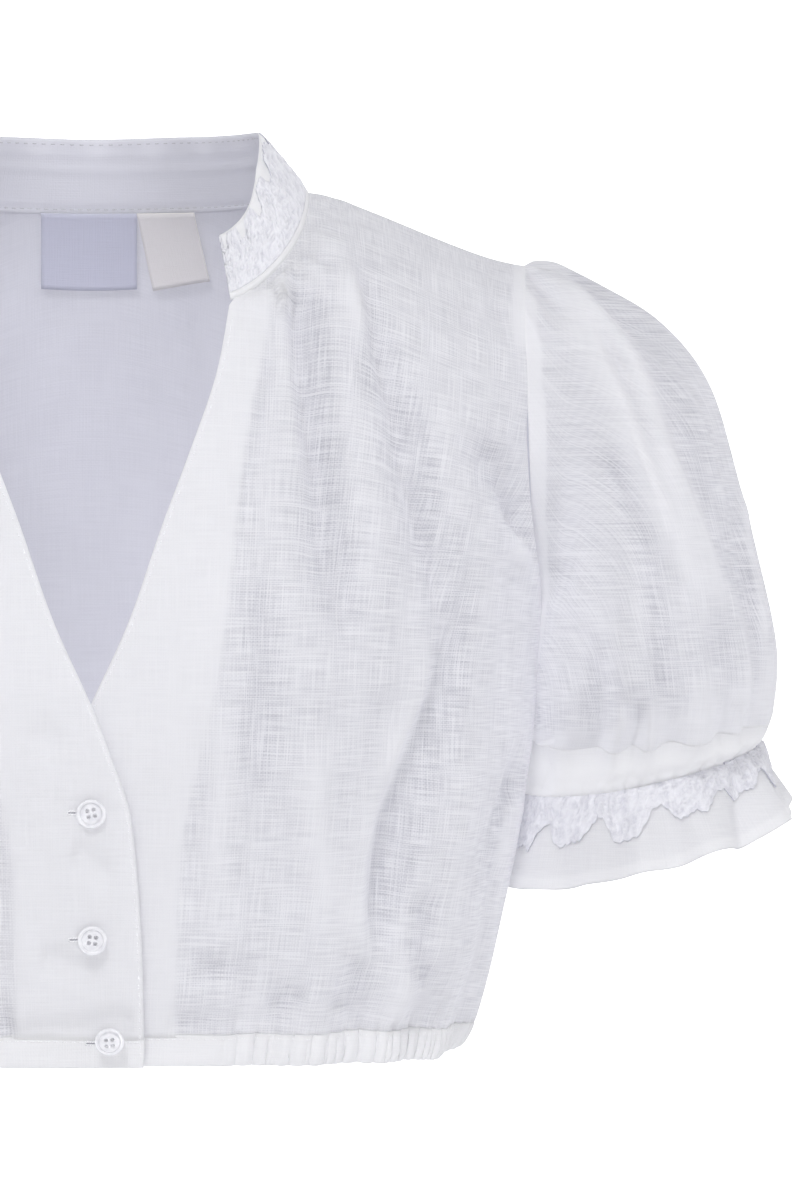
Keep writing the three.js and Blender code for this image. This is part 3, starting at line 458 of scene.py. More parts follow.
@dataclass
class Bodice:
    """The body of the blouse as a smooth closed form, and the lines that its panels are cut to."""

    neck_half_width: float = 86
    collar_front_reach: float = 54
    collar_front_drop: float = 47
    neck_curve: float = 1.5
    back_neck_drop: float = 5.3
    back_neck_lift: float = 25
    bust_lift: float = 7
    bust_reach: float = 78
    bust_height: float = -192
    bust_spread: Range = (42, 52)
    underarm: float = -195
    hem: float = -344.5
    casing_top: float = -333.5
    seam: float = 0.12
    shoulder_drop_from: Range = (-200, -20)
    underarm_row: float = 0.35
    collar_row: float = 0.65
    row_crowding: float = 1.35
    stations: Array = field(init=False)
    line: float = field(init=False)
    top: float = field(init=False)
    foot: float = field(init=False)
    underarm_level: float = field(init=False)
    collar_end_climb: float = field(init=False)

    def __post_init__(self) -> None:
        """Works out how far each section lies along the bodice's own profile."""
        height, front, back = (SECTIONS.columns[name] for name in ("height", "front", "back"))
        steps = np.hypot(np.diff(height), np.diff(front + back) / 2)
        self.stations = np.concatenate([[0], np.cumsum(steps)])
        self.line = float(self.stations[-1])
        self.top = self.line - self.seam
        self.foot = float(self.station(self.casing_top + self.seam))
        self.underarm_level = float(self.station(self.underarm))
        self.collar_end_climb = float(self.climb(self.station(-self.collar_front_drop)))

    def place(self, station: Array) -> Array:
        """The place among the sections at each station along the profile."""
        return np.interp(station, self.stations, np.arange(len(self.stations)))

    def station(self, height: Array) -> Array:
        """The station along the profile at each height."""
        return np.interp(SECTIONS.place("height", height), np.arange(len(self.stations)), self.stations)

    def height(self, station: Array) -> Array:
        """The height of each station, before the shoulders drop."""
        return SECTIONS.read("height", self.place(station))

    def half_width(self, station: Array) -> Array:
        """Half the width of the section at each station."""
        return SECTIONS.read("half_width", self.place(station))

    def climb(self, station: Array) -> Array:
        """How far a station has climbed from the underarm, 0, to the shoulder, 1."""
        return (station - self.underarm_level) / (self.top - self.underarm_level)

    def shift(self, x: Array, on_front: Array) -> Array:
        """How far the shoulder drops outwards, and the back rises to the neck."""
        drop = SHOULDER.read("drop", SHOULDER.place("reach", np.abs(x)))
        inside = np.clip(np.abs(x) / self.neck_half_width, 0, 1)
        lift = np.where(on_front, 0, self.back_neck_lift * np.cos(inside * np.pi / 2) ** 2)
        return lift - drop

    def form(self, angle: Array, station: Array) -> Array:
        """Points of the smooth bodice.

        Args:
            angle: degrees round the body, 0 at the centre front and 180 at the centre back.
            station: mm along the profile. Past the shoulder line it carries on down the far side.

        Returns:
            Points in mm.
        """
        over = station > self.line
        angle = np.where(over, 180 - angle, angle)
        station = np.where(over, 2 * self.line - station, station)
        place = self.place(np.maximum(station, 0))
        on_front = np.cos(np.radians(angle)) > 0
        across = np.sin(np.radians(angle))
        square = SECTIONS.read("square", place)
        depth = np.where(on_front, SECTIONS.read("front", place), SECTIONS.read("back", place))
        height = SECTIONS.read("height", place) + np.minimum(station, 0)
        x = SECTIONS.read("half_width", place) * across
        rounded = np.maximum(1 - np.abs(across) ** square, 0) ** (1 / square)
        bust = (
            self.bust_lift
            * bell((np.abs(x) - self.bust_reach) / self.bust_spread[0])
            * bell((height - self.bust_height) / self.bust_spread[1])
        )
        y = np.where(on_front, -(np.maximum(depth, 0) + bust), np.maximum(depth, 0)) * rounded
        dropped = self.shift(x, on_front) * ramp(*self.shoulder_drop_from, height)
        return np.stack([x, y, height + dropped], -1)

    def smooth_normals(self, angle: Array, station: Array) -> Array:
        """Outward normals of the smooth bodice, read over a wide step."""
        return normals(self.form, angle, station, *WIDE_STEP)

    def across(self, x: Array, height: Array) -> tuple[Array, Array]:
        """The angle and station of the places on the front at x and a height."""
        station = self.station(height)
        return np.degrees(np.arcsin(np.clip(x / self.half_width(station), -1, 1))), station

    def front_edge(self, height: Array, name: str) -> Array:
        """The angle of a front's edge, or of its facing's edge, at each height."""
        return self.across(FRONT_EDGE.read(name, FRONT_EDGE.place("height", height)), height)[0]

    def front_neckline(self, turn: Array) -> tuple[Array, Array]:
        """The collar seam on the front, where turn is 0 at the collar's end and 90 at the shoulder."""
        reach = self.neck_half_width - self.collar_front_reach
        bent = np.clip(np.sin(np.radians(turn)), 0, 1) ** self.neck_curve
        height = -self.collar_front_drop * np.cos(np.radians(turn))
        return self.across(self.collar_front_reach + reach * bent, height)

    def back_neckline(self, turn: Array) -> tuple[Array, Array]:
        """The collar seam on the back, where turn is 0 at the shoulder and 90 at the centre back."""
        x = self.neck_half_width * np.cos(np.radians(turn))
        z = mix(self.shift(self.neck_half_width, False), -self.back_neck_drop, ramp(0, 55, turn))
        angle, station = self.across(x, z - self.shift(x, False))
        return 180 - angle, station

    def side_angle(self, station: Array) -> Array:
        """The angle at which the side seam lies, just in front of the side."""
        place = self.place(station)
        square = SECTIONS.read("square", place)
        share = self.seam / np.maximum(SECTIONS.read("front", place), 2 * self.seam)
        return np.degrees(np.arcsin((1 - share**square) ** (1 / square)))

    def outer_edge(self, station: Array) -> Array:
        """The angle of a panel's outer edge: up the side seam, then round the armhole."""
        share = np.arccos(1 - 2 * np.clip(self.climb(station), 0, 1)) / np.pi
        across = ARMHOLE.read("across", share * ARMHOLE.last)
        return np.minimum(np.degrees(np.arcsin(np.clip(across, 0, 1))), self.side_angle(station))

    def inner_edge(self, station: Array) -> Array:
        """The angle of a front's inner edge: up the placket and the V, then the collar seam."""
        height = self.height(station)
        turn = np.degrees(np.arccos(np.clip(-height / self.collar_front_drop, 0, 1)))
        low = self.front_edge(height, "edge")
        return np.where(height < -self.collar_front_drop, low, self.front_neckline(turn)[0])

    def level(self, v: Array, top: Array) -> Array:
        """The station of a panel's row, with rows at the underarm and at the collar's end."""
        low = np.clip((v - self.underarm_row) / (self.collar_row - self.underarm_row), 0, 1)
        high = np.clip((v - self.collar_row) / (1 - self.collar_row), 0, 1)
        crowded = (high + (1 - np.cos(np.pi * high)) / 2) / 2
        to_collar = self.collar_end_climb * low**self.row_crowding
        climb = np.where(v <= self.collar_row, to_collar, mix(self.collar_end_climb, 1, crowded))
        below = mix(self.foot, self.underarm_level, np.clip(v / self.underarm_row, 0, 1))
        return np.where(v <= self.underarm_row, below, mix(self.underarm_level, top, climb))

    def back_top(self, half: Array) -> Array:
        """The station of the back's top edge at a share of its half width."""
        x = self.half_width(self.top) * np.sin(np.radians(half * self.outer_edge(self.top)))
        turn = np.degrees(np.arccos(np.clip(x / self.neck_half_width, 0, 1)))
        low = np.minimum(self.back_neckline(turn)[1], self.top)
        return np.where(x >= self.neck_half_width, self.top, low)


BODICE = Bodice()


class Held(Enum):
    """How a piece of cloth is held in the blouse."""

    GATHERED = "gathered"
    HUNG = "hung"
    STRETCHED = "stretched"
    FOLDED = "folded"


@dataclass
class Cloth:
    """One piece of cloth: a grid of points that gets two skins, a cloth map and a layer count.

    Sheer linen is about 0.3 mm thick and is drawn twice that. The inner skin looks doubled at
    least as far as inner_layers says, which calms its weave under the painted shade that its finish
    lays on a side turned in.
    """

    name: str
    points: Array
    around: Array
    up: Array
    thickness: Array | float = 0.6
    layers: Array | float = 0.0
    tube: bool = False
    mirror: bool = False
    inner_layers: float = 0.75

    def skins(self) -> tuple[Array, Array]:
        """The outer and the inner skin, half a thickness out and in."""
        points = self.points[:, :-1] if self.tube else self.points
        if self.tube:
            along = np.roll(points, -1, 1) - np.roll(points, 1, 1)
        else:
            along = np.gradient(points, axis=1)
        normal = unit(np.cross(along, np.gradient(points, axis=0)))
        half = np.broadcast_to(np.asarray(self.thickness, float), self.points.shape[:2])
        half = half[:, : points.shape[1], None] / 2
        return points + normal * half, points - normal * half

    def build(self) -> Thing:
        """Makes the mesh object.

        Returns:
            The new object at the origin, in metres, smooth shaded.
        """
        outer, inner = self.skins()
        rows, across = outer.shape[:2]
        columns = across if self.tube else across - 1
        count = rows * across
        j, i = np.mgrid[0 : rows - 1, 0:columns]
        i2 = (i + 1) % across
        quads = np.stack([j * across + i, j * across + i2, (j + 1) * across + i2, (j + 1) * across + i], -1)
        maps = np.stack([self.around, self.up], -1) * MM
        corner = np.stack([maps[j, i], maps[j, i + 1], maps[j + 1, i + 1], maps[j + 1, i]], -2)
        quads, corner = quads.reshape(-1, 4), corner.reshape(-1, 4, 2)
        faces = [quads, quads[:, ::-1] + count]
        uvs = [corner, corner[:, ::-1]]
        # The rims that close the two skins: the foot and the top, and the sides of a piece that is no tube
        ends = ((0, False), (count - across, True))
        rims = [(start + i[0], start + i2[0], reverse) for start, reverse in ends]
        if not self.tube:
            for column, reverse in ((0, True), (across - 1, False)):
                line = j[:, 0] * across + column
                rims.append((line, line + across, reverse))
        for line, after, reverse in rims:
            rim = np.stack([line + count, after + count, after, line], -1)
            faces.append(rim[:, ::-1] if reverse else rim)
            uvs.append(np.repeat(maps[line // across, line % across][:, None], 4, 1))
        vertices = np.concatenate([outer.reshape(-1, 3), inner.reshape(-1, 3)]) * MM
        faces, uvs = np.concatenate(faces), np.concatenate(uvs)
        if self.mirror:
            vertices[:, 0] *= -1
            faces, uvs = faces[:, ::-1], uvs[:, ::-1]
        layers = np.broadcast_to(np.asarray(self.layers, float), self.points.shape[:2])[:, :across].ravel()
        marks = {
            LAYERS: np.concatenate([layers, np.maximum(layers, self.inner_layers)]),
            INSIDE: np.repeat([0.0, 1.0], len(layers)),
        }
        return mesh_object(f"{self.name}_cloth", vertices, faces, uvs, marks)


def mesh_object(name: str, vertices: Array, faces: Array, uvs: Array, marks: dict[str, Array]) -> Thing:
    """Makes a smooth mesh object from arrays.

    Args:
        name: the object's name.
        vertices: points in metres.
        faces: equal-sided faces as rows of point numbers.
        uvs: the cloth map for each corner.
        marks: a number for each point, by attribute name.

    Returns:
        The new object.
    """
    mesh = bpy.data.meshes.new(name)
    mesh.vertices.add(len(vertices))
    mesh.vertices.foreach_set("co", vertices.astype(np.float32).ravel())
    sides = faces.shape[1]
    mesh.loops.add(faces.size)
    mesh.loops.foreach_set("vertex_index", faces.astype(np.int32).ravel())
    mesh.polygons.add(len(faces))
    mesh.polygons.foreach_set("loop_start", np.arange(0, faces.size, sides, dtype=np.int32))
    mesh.update(calc_edges=True)
    mesh.uv_layers.new(name=CLOTH_MAP).data.foreach_set("uv", uvs.astype(np.float32).ravel())
    for mark, values in marks.items():
        mesh.attributes.new(mark, "FLOAT", "POINT").data.foreach_set("value", values.astype(np.float32))
    mesh.validate()
    mesh.shade_smooth()
    thing = bpy.data.objects.new(name, mesh)
    bpy.context.collection.objects.link(thing)
    return thing


def grid(columns: int, rows: int, crowd: float = 0.0) -> tuple[Array, Array]:
    """Shares across and up a piece, as two grids.

    Args:
        columns: how many columns of faces.
        rows: how many rows of faces.
        crowd: how far the columns crowd towards both edges, from 0 to 1.

    Returns:
        u and v, each with rows + 1 by columns + 1 values.
    """
    u = np.linspace(0, 1, columns + 1)
    u = mix(u, (1 - np.cos(np.pi * u)) / 2, crowd)
    return np.meshgrid(u, np.linspace(0, 1, rows + 1))


def linear(colour: str) -> tuple[float, float, float, float]:
    """Turns an sRGB hex colour into linear RGB with full alpha."""
    parts = [int(colour[k : k + 2], 16) / 255 for k in (1, 3, 5)]
    return (*[p / 12.92 if p <= 0.04045 else ((p + 0.055) / 1.055) ** 2.4 for p in parts], 1.0)


def empty_material(name: str) -> Material:
    """A new node material that has no nodes yet."""
    made = bpy.data.materials.new(name)
    made.use_nodes = True
    made.node_tree.nodes.clear()
    return made


def add(tree: Tree, kind: str, inputs: Inputs | None = None, **settings: str) -> bpy.types.Node:
    """Adds a node with its settings and inputs.

    Args:
        tree: the material's node tree.
        kind: the node's type name without its ShaderNode prefix.
        inputs: a plain value, or the socket that feeds it, by the input's name or number.
        settings: the node's own properties.

    Returns:
        The new node.
    """
    node = tree.nodes.new("ShaderNode" + kind)
    for name, value in settings.items():
        setattr(node, name, value)
    for key, value in (inputs or {}).items():
        if isinstance(value, Socket):
            tree.links.new(value, node.inputs[key])
        else:
            node.inputs[key].default_value = value
    return node


def figure(tree: Tree, operation: str, a: Value, b: Value = 0.0) -> Socket:
    """What a sum gives for one or two numbers, which may be sockets or plain numbers."""
    return add(tree, "Math", {0: a, 1: b}, operation=operation).outputs[0]


def blend(tree: Tree, share: Value, a: Value, b: Value) -> Socket:
    """A number between a and b, which may be sockets or plain numbers."""
    return add(tree, "Mix", {0: share, 2: a, 3: b}).outputs[0]


def rescale(tree: Tree, value: Socket, old: Range = (0.0, 1.0), new: Range = (0.0, 1.0)) -> Socket:
    """Moves a number from its old range into a new one, and stops it at both ends."""
    limits = {"From Min": old[0], "From Max": old[1], "To Min": new[0], "To Max": new[1]}
    return add(tree, "MapRange", {"Value": value, **limits}).outputs[0]


def tint(tree: Tree, share: Socket, a: Colour, b: Colour, way: str = "MIX") -> Socket:
    """A colour between a and b, which may be sockets or sRGB hex colours."""
    first, second = (linear(colour) if isinstance(colour, str) else colour for colour in (a, b))
    inputs = {0: share, 6: first, 7: second}
    return add(tree, "Mix", inputs, data_type="RGBA", blend_type=way).outputs[2]


def flat_noise(tree: Tree, spots: Socket, scale: Range, place: Range, detail: float, rough: float) -> Socket:
    """Flat noise from 0 to 1, with as many bumps a metre each way as scale says."""
    inputs = {"Vector": spots, "Scale": (*scale, 1), "Location": (*place, 0)}
    vector = add(tree, "Mapping", inputs).outputs[0]
    inputs = {"Vector": vector, "Scale": 1.0, "Detail": detail, "Roughness": rough}
    return add(tree, "TexNoise", inputs, noise_dimensions="2D").outputs[0]


@dataclass(frozen=True)
class WovenCloth:
    """Plain-woven linen or cotton: matt thread crossings, slubs both ways, and a bright doubled layer.

    Cloth this thin lets light through, so a hollow stays bright. Each of a wall's two skins lets
    through the square root of what the cloth does. Threads of about 0.35 mm are too fine for the
    picture, so the weave is drawn at twice that. A side turned in is drawn calmer, and is darkened
    with painted shade.
    """

    name: str
    thread: str
    gap: str
    doubled: str
    # The painted shade multiplied over a side turned in
    shade: str = "#D6D6E0"
    pitch: float = 1.5
    yarn: float = 0.42
    yarn_length: float = 15
    slub_length: float = 30
    slubs: float = 0.75
    inner_slubs: float = 0.2
    grain: float = 0.2
    open_weave: float = 1.0
    patch: Range = (75, 26)
    doubled_share: float = 0.86
    calm: float = 0.55
    sheer: float = 0.55
    doubled_sheer: float = 0.8
    roughness: float = 0.9
    bump: float = 0.3

    def material(self) -> Material:
        """Builds the node material."""
        made = empty_material(self.name)
        tree = made.node_tree
        spots = add(tree, "UVMap", uv_map=CLOTH_MAP).outputs["UV"]
        layers = add(tree, "Attribute", attribute_name=LAYERS).outputs["Fac"]
        inside = add(tree, "Attribute", attribute_name=INSIDE).outputs["Fac"]
        weave = blend(tree, self.grain, self.yarns(tree, spots), self.crossings(tree, spots))
        shown = rescale(tree, inside, new=(self.slubs, self.inner_slubs * self.slubs))
        slubs = figure(tree, "MULTIPLY", self.slub_lines(tree, spots), shown)
        colour = self.colour(tree, inside, layers, blend(tree, self.patches(tree, spots), weave, 1.0), slubs)
        height = figure(tree, "ADD", weave, slubs)
        relief = add(tree, "Bump", {"Strength": self.bump, "Distance": 0.0003, "Height": height})
        surface = add(
            tree,
            "BsdfPrincipled",
            {
                "Base Color": colour,
                "Normal": relief.outputs[0],
                "Roughness": self.roughness,
                "Sheen Weight": 0.12,
                "Sheen Roughness": 0.5,
                "Specular IOR Level": 0.2,
            },
        )
        root = add(tree, "Gamma", {"Color": colour, "Gamma": 0.5}).outputs[0]
        through = add(tree, "BsdfTranslucent", {"Color": root})
        sheer = rescale(tree, layers, new=(self.sheer, self.doubled_sheer * self.sheer))
        both = add(tree, "MixShader", {0: sheer, 1: surface.outputs[0], 2: through.outputs[0]})
        add(tree, "OutputMaterial", {"Surface": both.outputs[0]})
        return made

    def colour(self, tree: Tree, inside: Socket, layers: Socket, weave: Socket, slubs: Socket) -> Socket:
        """The thread's colour and the gaps', calmer on a side turned in and darkened there with painted
        shade, bright where doubled.
        """
        calmed = blend(tree, rescale(tree, inside, new=(0, self.calm)), weave, 0.5)
        slubby = tint(tree, slubs, tint(tree, calmed, self.gap, self.thread), self.thread)
        outer = tint(tree, rescale(tree, layers, new=(0, self.doubled_share)), slubby, self.doubled)
        # Painted shade: a side turned in is multiplied by the shade colour.
        return tint(tree, inside, outer, self.shade, "MULTIPLY")

    def crossings(self, tree: Tree, spots: Socket) -> Socket:
        """Thread crossings, bright on a thread and dark in the gaps between."""
        parts = add(tree, "SeparateXYZ", {0: spots}).outputs
        turn = math.tau / (self.pitch * MM)
        waves = [figure(tree, "SINE", figure(tree, "MULTIPLY", parts[k], turn)) for k in (0, 1)]
        return rescale(tree, figure(tree, "MULTIPLY", *waves), (-0.7, 0.7))

    def streaks(self, tree: Tree, spots: Socket, length: float, width: float) -> tuple[Socket, Socket]:
        """Noise drawn out along the level threads, and along the upright ones, from 0 to 1."""
        scale = (1 / (length * MM), 1 / (width * MM))
        level = flat_noise(tree, spots, scale, (0, 1.3), 1.0, 0.4)
        return level, flat_noise(tree, spots, scale[::-1], (3.7, 1.3), 1.0, 0.4)

    def yarns(self, tree: Tree, spots: Socket) -> Socket:
        """Thicker and thinner stretches of yarn both ways: bright where thick, dark where they part."""
        both = self.streaks(tree, spots, self.yarn_length, self.yarn)
        return rescale(tree, blend(tree, 0.42, *both), (0.33, 0.68))

    def slub_lines(self, tree: Tree, spots: Socket) -> Socket:
        """Slubs: long thick stretches of single threads."""
        both = self.streaks(tree, spots, self.slub_length, 1.1 * self.yarn)
        return figure(tree, "MAXIMUM", *(rescale(tree, noise, (0.61, 0.72)) for noise in both))

    def patches(self, tree: Tree, spots: Socket) -> Socket:
        """Stretches where the threads lie closer, so that the gaps don't show."""
        close = rescale(tree, flat_noise(tree, spots, self.patch, (0, 0), 2.0, 0.5), (0.38, 0.72))
        return rescale(tree, close, new=(1 - self.open_weave, 1 - 0.8 * self.open_weave))


# Sheer linen: its gaps painted lavender-grey with the shade of the hollow behind them, nearly white where it
# is doubled
LINEN = WovenCloth("sheer_slub_linen", thread="#FAFAFA", gap="#BCBCC1", doubled="#F0F0F1")
# The same linen, two layers all over
DOUBLE_LINEN = WovenCloth(
    "doubled_linen",
    thread="#E2E2E4",
    gap="#D0D0D4",
    doubled="#EEEEEF",
    shade="#E8E8EF",
    slubs=0.3,
    open_weave=0.6,
    sheer=0.3,
)
# Embroidered cotton lace: soft matt yarn, a little greyer than the linen under it
LACE = WovenCloth(
    "embroidered_cotton",
    thread="#D9D9E0",
    gap="#C6C6CF",
    doubled="#E8E8ED",
    pitch=0.9,
    yarn=0.7,
    yarn_length=1.6,
    slubs=0.0,
    sheer=0.15,
    bump=0.6,
)
# A woven taffeta label in grey-blue polyester: close threads with a slight gloss
LABEL_WEAVE = WovenCloth(
    "taffeta_label",
    thread="#D8D9E1",
    gap="#CFD0D8",
    doubled="#E0E1E8",
    pitch=0.7,
    yarn_length=14,
    slubs=0.2,
    sheer=0.0,
    roughness=0.5,
)
# Cream cotton tape
LABEL_TAPE = WovenCloth(
    "cotton_tape",
    thread="#FBF7EC",
    gap="#F0ECE1",
    doubled="#FCF9F0",
    pitch=0.8,
    yarn_length=5,
    slubs=0.2,
    sheer=0.0,
    roughness=0.75,
)


@dataclass(frozen=True)
class PearlPlastic:
    """Cast polyester made like mother-of-pearl: a clear gloss over cloudy, pale swirls."""

    name: str = "pearl_polyester"
    light: str = "#E6E6E9"
    cloud: str = "#BEBEC6"

    def material(self) -> Material:
        """Builds the node material."""
        made = empty_material(self.name)
        tree = made.node_tree
        spots = add(tree, "TexCoord").outputs["Object"]
        swirls = add(tree, "TexNoise", {"Vector": spots, "Scale": 260.0, "Detail": 3.0, "Distortion": 1.2})
        colour = tint(tree, swirls.outputs[0], self.cloud, self.light)
        gloss = {"Roughness": 0.18, "IOR": 1.54, "Coat Weight": 0.6, "Coat Roughness": 0.06}
        surface = add(tree, "BsdfPrincipled", {"Base Color": colour, **gloss})
        add(tree, "OutputMaterial", {"Surface": surface.outputs[0]})
        return made


@dataclass(frozen=True)
class SewingThread:
    """Two-ply cotton thread: a fine slanting twist, and a painted shadow in a slit where a point has no
    layers.

    The ply of 0.5 mm is drawn twice as coarse, so that it shows.
    """

    name: str = "cotton_sewing_thread"
    light: str = "#F8F8F9"
    twist: str = "#E0E0E4"
    # Painted shadow: the dark grey of a buttonhole's slit, and part of it on stitches drawn darker
    slit: str = "#8A8A94"
    ply: float = 1.0

    def material(self) -> Material:
        """Builds the node material."""
        made = empty_material(self.name)
        tree = made.node_tree
        spots = add(tree, "UVMap", uv_map=CLOTH_MAP).outputs["UV"]
        turns = math.tau / (self.ply * MM)
        turned = add(tree, "Mapping", {"Vector": spots, "Scale": (turns, turns, 1)}).outputs[0]
        parts = add(tree, "SeparateXYZ", {0: turned}).outputs
        wave = figure(tree, "SINE", figure(tree, "ADD", parts[0], parts[1]))
        strand = rescale(tree, wave, (-1.0, 1.0))
        layers = add(tree, "Attribute", attribute_name=LAYERS).outputs["Fac"]
        colour = tint(tree, layers, self.slit, tint(tree, strand, self.twist, self.light))
        relief = add(tree, "Bump", {"Strength": 0.4, "Distance": 0.0002, "Height": strand})
        surface = add(
            tree,
            "BsdfPrincipled",
            {
                "Base Color": colour,
                "Normal": relief.outputs[0],
                "Roughness": 0.65,
                "Sheen Weight": 0.2,
                "Sheen Roughness": 0.4,
                "Specular IOR Level": 0.3,
            },
        )
        add(tree, "OutputMaterial", {"Surface": surface.outputs[0]})
        return made


@dataclass(frozen=True)
class PlainPaper:
    """The matt white paper of the studio's floor and backdrop, clear from behind so that it hides nothing."""

    name: str = "studio_paper"
    colour: str = "#FFFFFF"
    glow: float = 0.0

    def material(self) -> Material:
        """Builds the node material."""
        made = empty_material(self.name)
        tree = made.node_tree
        front = figure(tree, "SUBTRACT", 1.0, add(tree, "NewGeometry").outputs["Backfacing"])
        colour = linear(self.colour)
        look = {"Base Color": colour, "Roughness": 1.0, "Alpha": front}
        light = {"Emission Color": colour, "Emission Strength": self.glow}
        surface = add(tree, "BsdfPrincipled", {**look, **light})
        add(tree, "OutputMaterial", {"Surface": surface.outputs[0]})
        return made


@dataclass(frozen=True)
class Finishes:
    """The materials of the blouse, each built once."""

    linen: Material
    double_linen: Material
    lace: Material
    label_weave: Material
    label_tape: Material
    pearl: Material
    thread: Material


def dress(thing: Thing, slot: str, finish: Material, nodes: tuple[str, ...] = ()) -> None:
    """Gives a piece its finish, puts it on the body and lets it stand for its solids."""
    thing.data.materials.append(finish)
    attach(thing, BODY)
    if nodes:
        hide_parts(*nodes)
    log.info("%s: %d faces", thing.name, len(thing.data.polygons))


@dataclass(frozen=True)
class Cut:
    """How a piece of cloth was cut and is held.

    flat is the rectangle in mm that it was cut from, and share says how much of that it fills.
    """

    flat: Range
    share: float
    held: Held
    rests_on: tuple[str, ...] = ()


def sew(cloth: Cloth, slot: str, finish: Material, cut: Cut) -> None:
    """Makes a piece of cloth that stands for its own solid."""
    thing = cloth.build()
    dress(thing, slot, finish, (cloth.name,))
    list(cut.rests_on)


# The rings of a stitch from end to end: their place along it, their rise and their width, as shares
STITCH_RINGS = ((-0.5, -0.4, 0.2), (-0.3, 0.2, 1), (0.3, 0.2, 1), (0.5, -0.4, 0.2))


@dataclass
class Stitching:
    """Rows of machine stitches, each stitch a short raised thread, joined in one piece.

    Real stitches are about 0.25 mm thick and are drawn thicker, so that they show.
    """

    finishes: Finishes
    length: float = 2.2
    width: float = 0.34
    sides: int = 6
    parts: list[tuple[Array, Array, bool, float]] = field(default_factory=list)

    def row(self, line: Array, outward: Array, pitch: float, mirror: bool = False, light: float = 1) -> None:
        """Adds a row of stitches.

        Args:
            line: points in mm where the thread lies, close together.
            outward: the cloth's normal at each point.
            pitch: mm from one stitch to the next.
            mirror: True to move the row to the wearer's right side.
            light: less than 1 for stitches drawn deep into soft cloth, which are painted darker as shade.
        """
        far = np.concatenate([[0], np.cumsum(np.linalg.norm(np.diff(line, axis=0), axis=1))])
        middle = np.arange(pitch, far[-1] - pitch, pitch)
        read = lambda values, place: np.stack([np.interp(place, far, values[:, k]) for k in range(3)], -1)
        turn = np.arange(self.sides) * math.tau / self.sides
        rings, maps = [], []
        for along, rise, thick in STITCH_RINGS:
            place = middle + along * self.length
            out = unit(read(outward, place))
            side = unit(np.cross(read(line, place + 0.2) - read(line, place - 0.2), out))
            circle = side[:, None] * np.cos(turn)[:, None] + out[:, None] * np.sin(turn)[:, None]
            heart = read(line, place) + out * rise * self.width
            rings.append(heart[:, None] + circle * self.width / 2 * thick)
            maps.append(np.stack(np.broadcast_arrays(place[:, None], turn * self.width / 2), -1))
        points, maps = np.stack(rings, 1), np.stack(maps, 1)
        points[..., 0] *= -1 if mirror else 1
        self.parts.append((points, maps, mirror, light))

    def build(self) -> None:
        """Joins all the rows into one object."""
        last = len(STITCH_RINGS) - 1
        ring, j = np.arange(self.sides), np.arange(last)[:, None] * self.sides
        after = (ring + 1) % self.sides
        corners = (j + ring, j + self.sides + ring, j + self.sides + after, j + after)
        walls = np.stack(corners, -1).reshape(-1, 4)
        caps = np.array([[0, 1, 2, 3], [0, 3, 4, 5]])
        one = np.concatenate([walls, caps, caps[:, ::-1] + last * self.sides])
        vertices, faces, uvs, lights, count = [], [], [], [], 0
        for points, maps, mirror, light in self.parts:
            quads = one[:, ::-1] if mirror else one
            start = np.arange(len(points))[:, None, None] * len(STITCH_RINGS) * self.sides
            vertices.append(points.reshape(-1, 3) * MM)
            faces.append((quads[None] + start).reshape(-1, 4) + count)
            uvs.append(maps.reshape(len(points), -1, 2)[:, quads].reshape(-1, 4, 2) * MM)
            lights.append(np.full(len(vertices[-1]), light))
            count += len(vertices[-1])
        marks = {LAYERS: np.concatenate(lights)}
        joined = [np.concatenate(arrays) for arrays in (vertices, faces, uvs)]
        dress(mesh_object("stitching", *joined, marks), "linen", self.finishes.thread)


def out_of_step(folds: Table) -> Table:
    """A panel's folds, moved a little and made shallower, for its twin on the other side."""
    twin = Table(FOLD_COLUMNS, *zip(*folds.columns.values()))
    for name, move in (("from_x", 1.5), ("from_y", -7), ("to_x", -1.5)):
        twin.columns[name] += move
    twin.columns["depth"] *= 0.85
    return twin


def from_centre(angle: Array) -> Array:
    """Degrees from the centre front, or from the centre back where that is nearer."""
    return np.where(angle > 90, 180 - angle, angle)


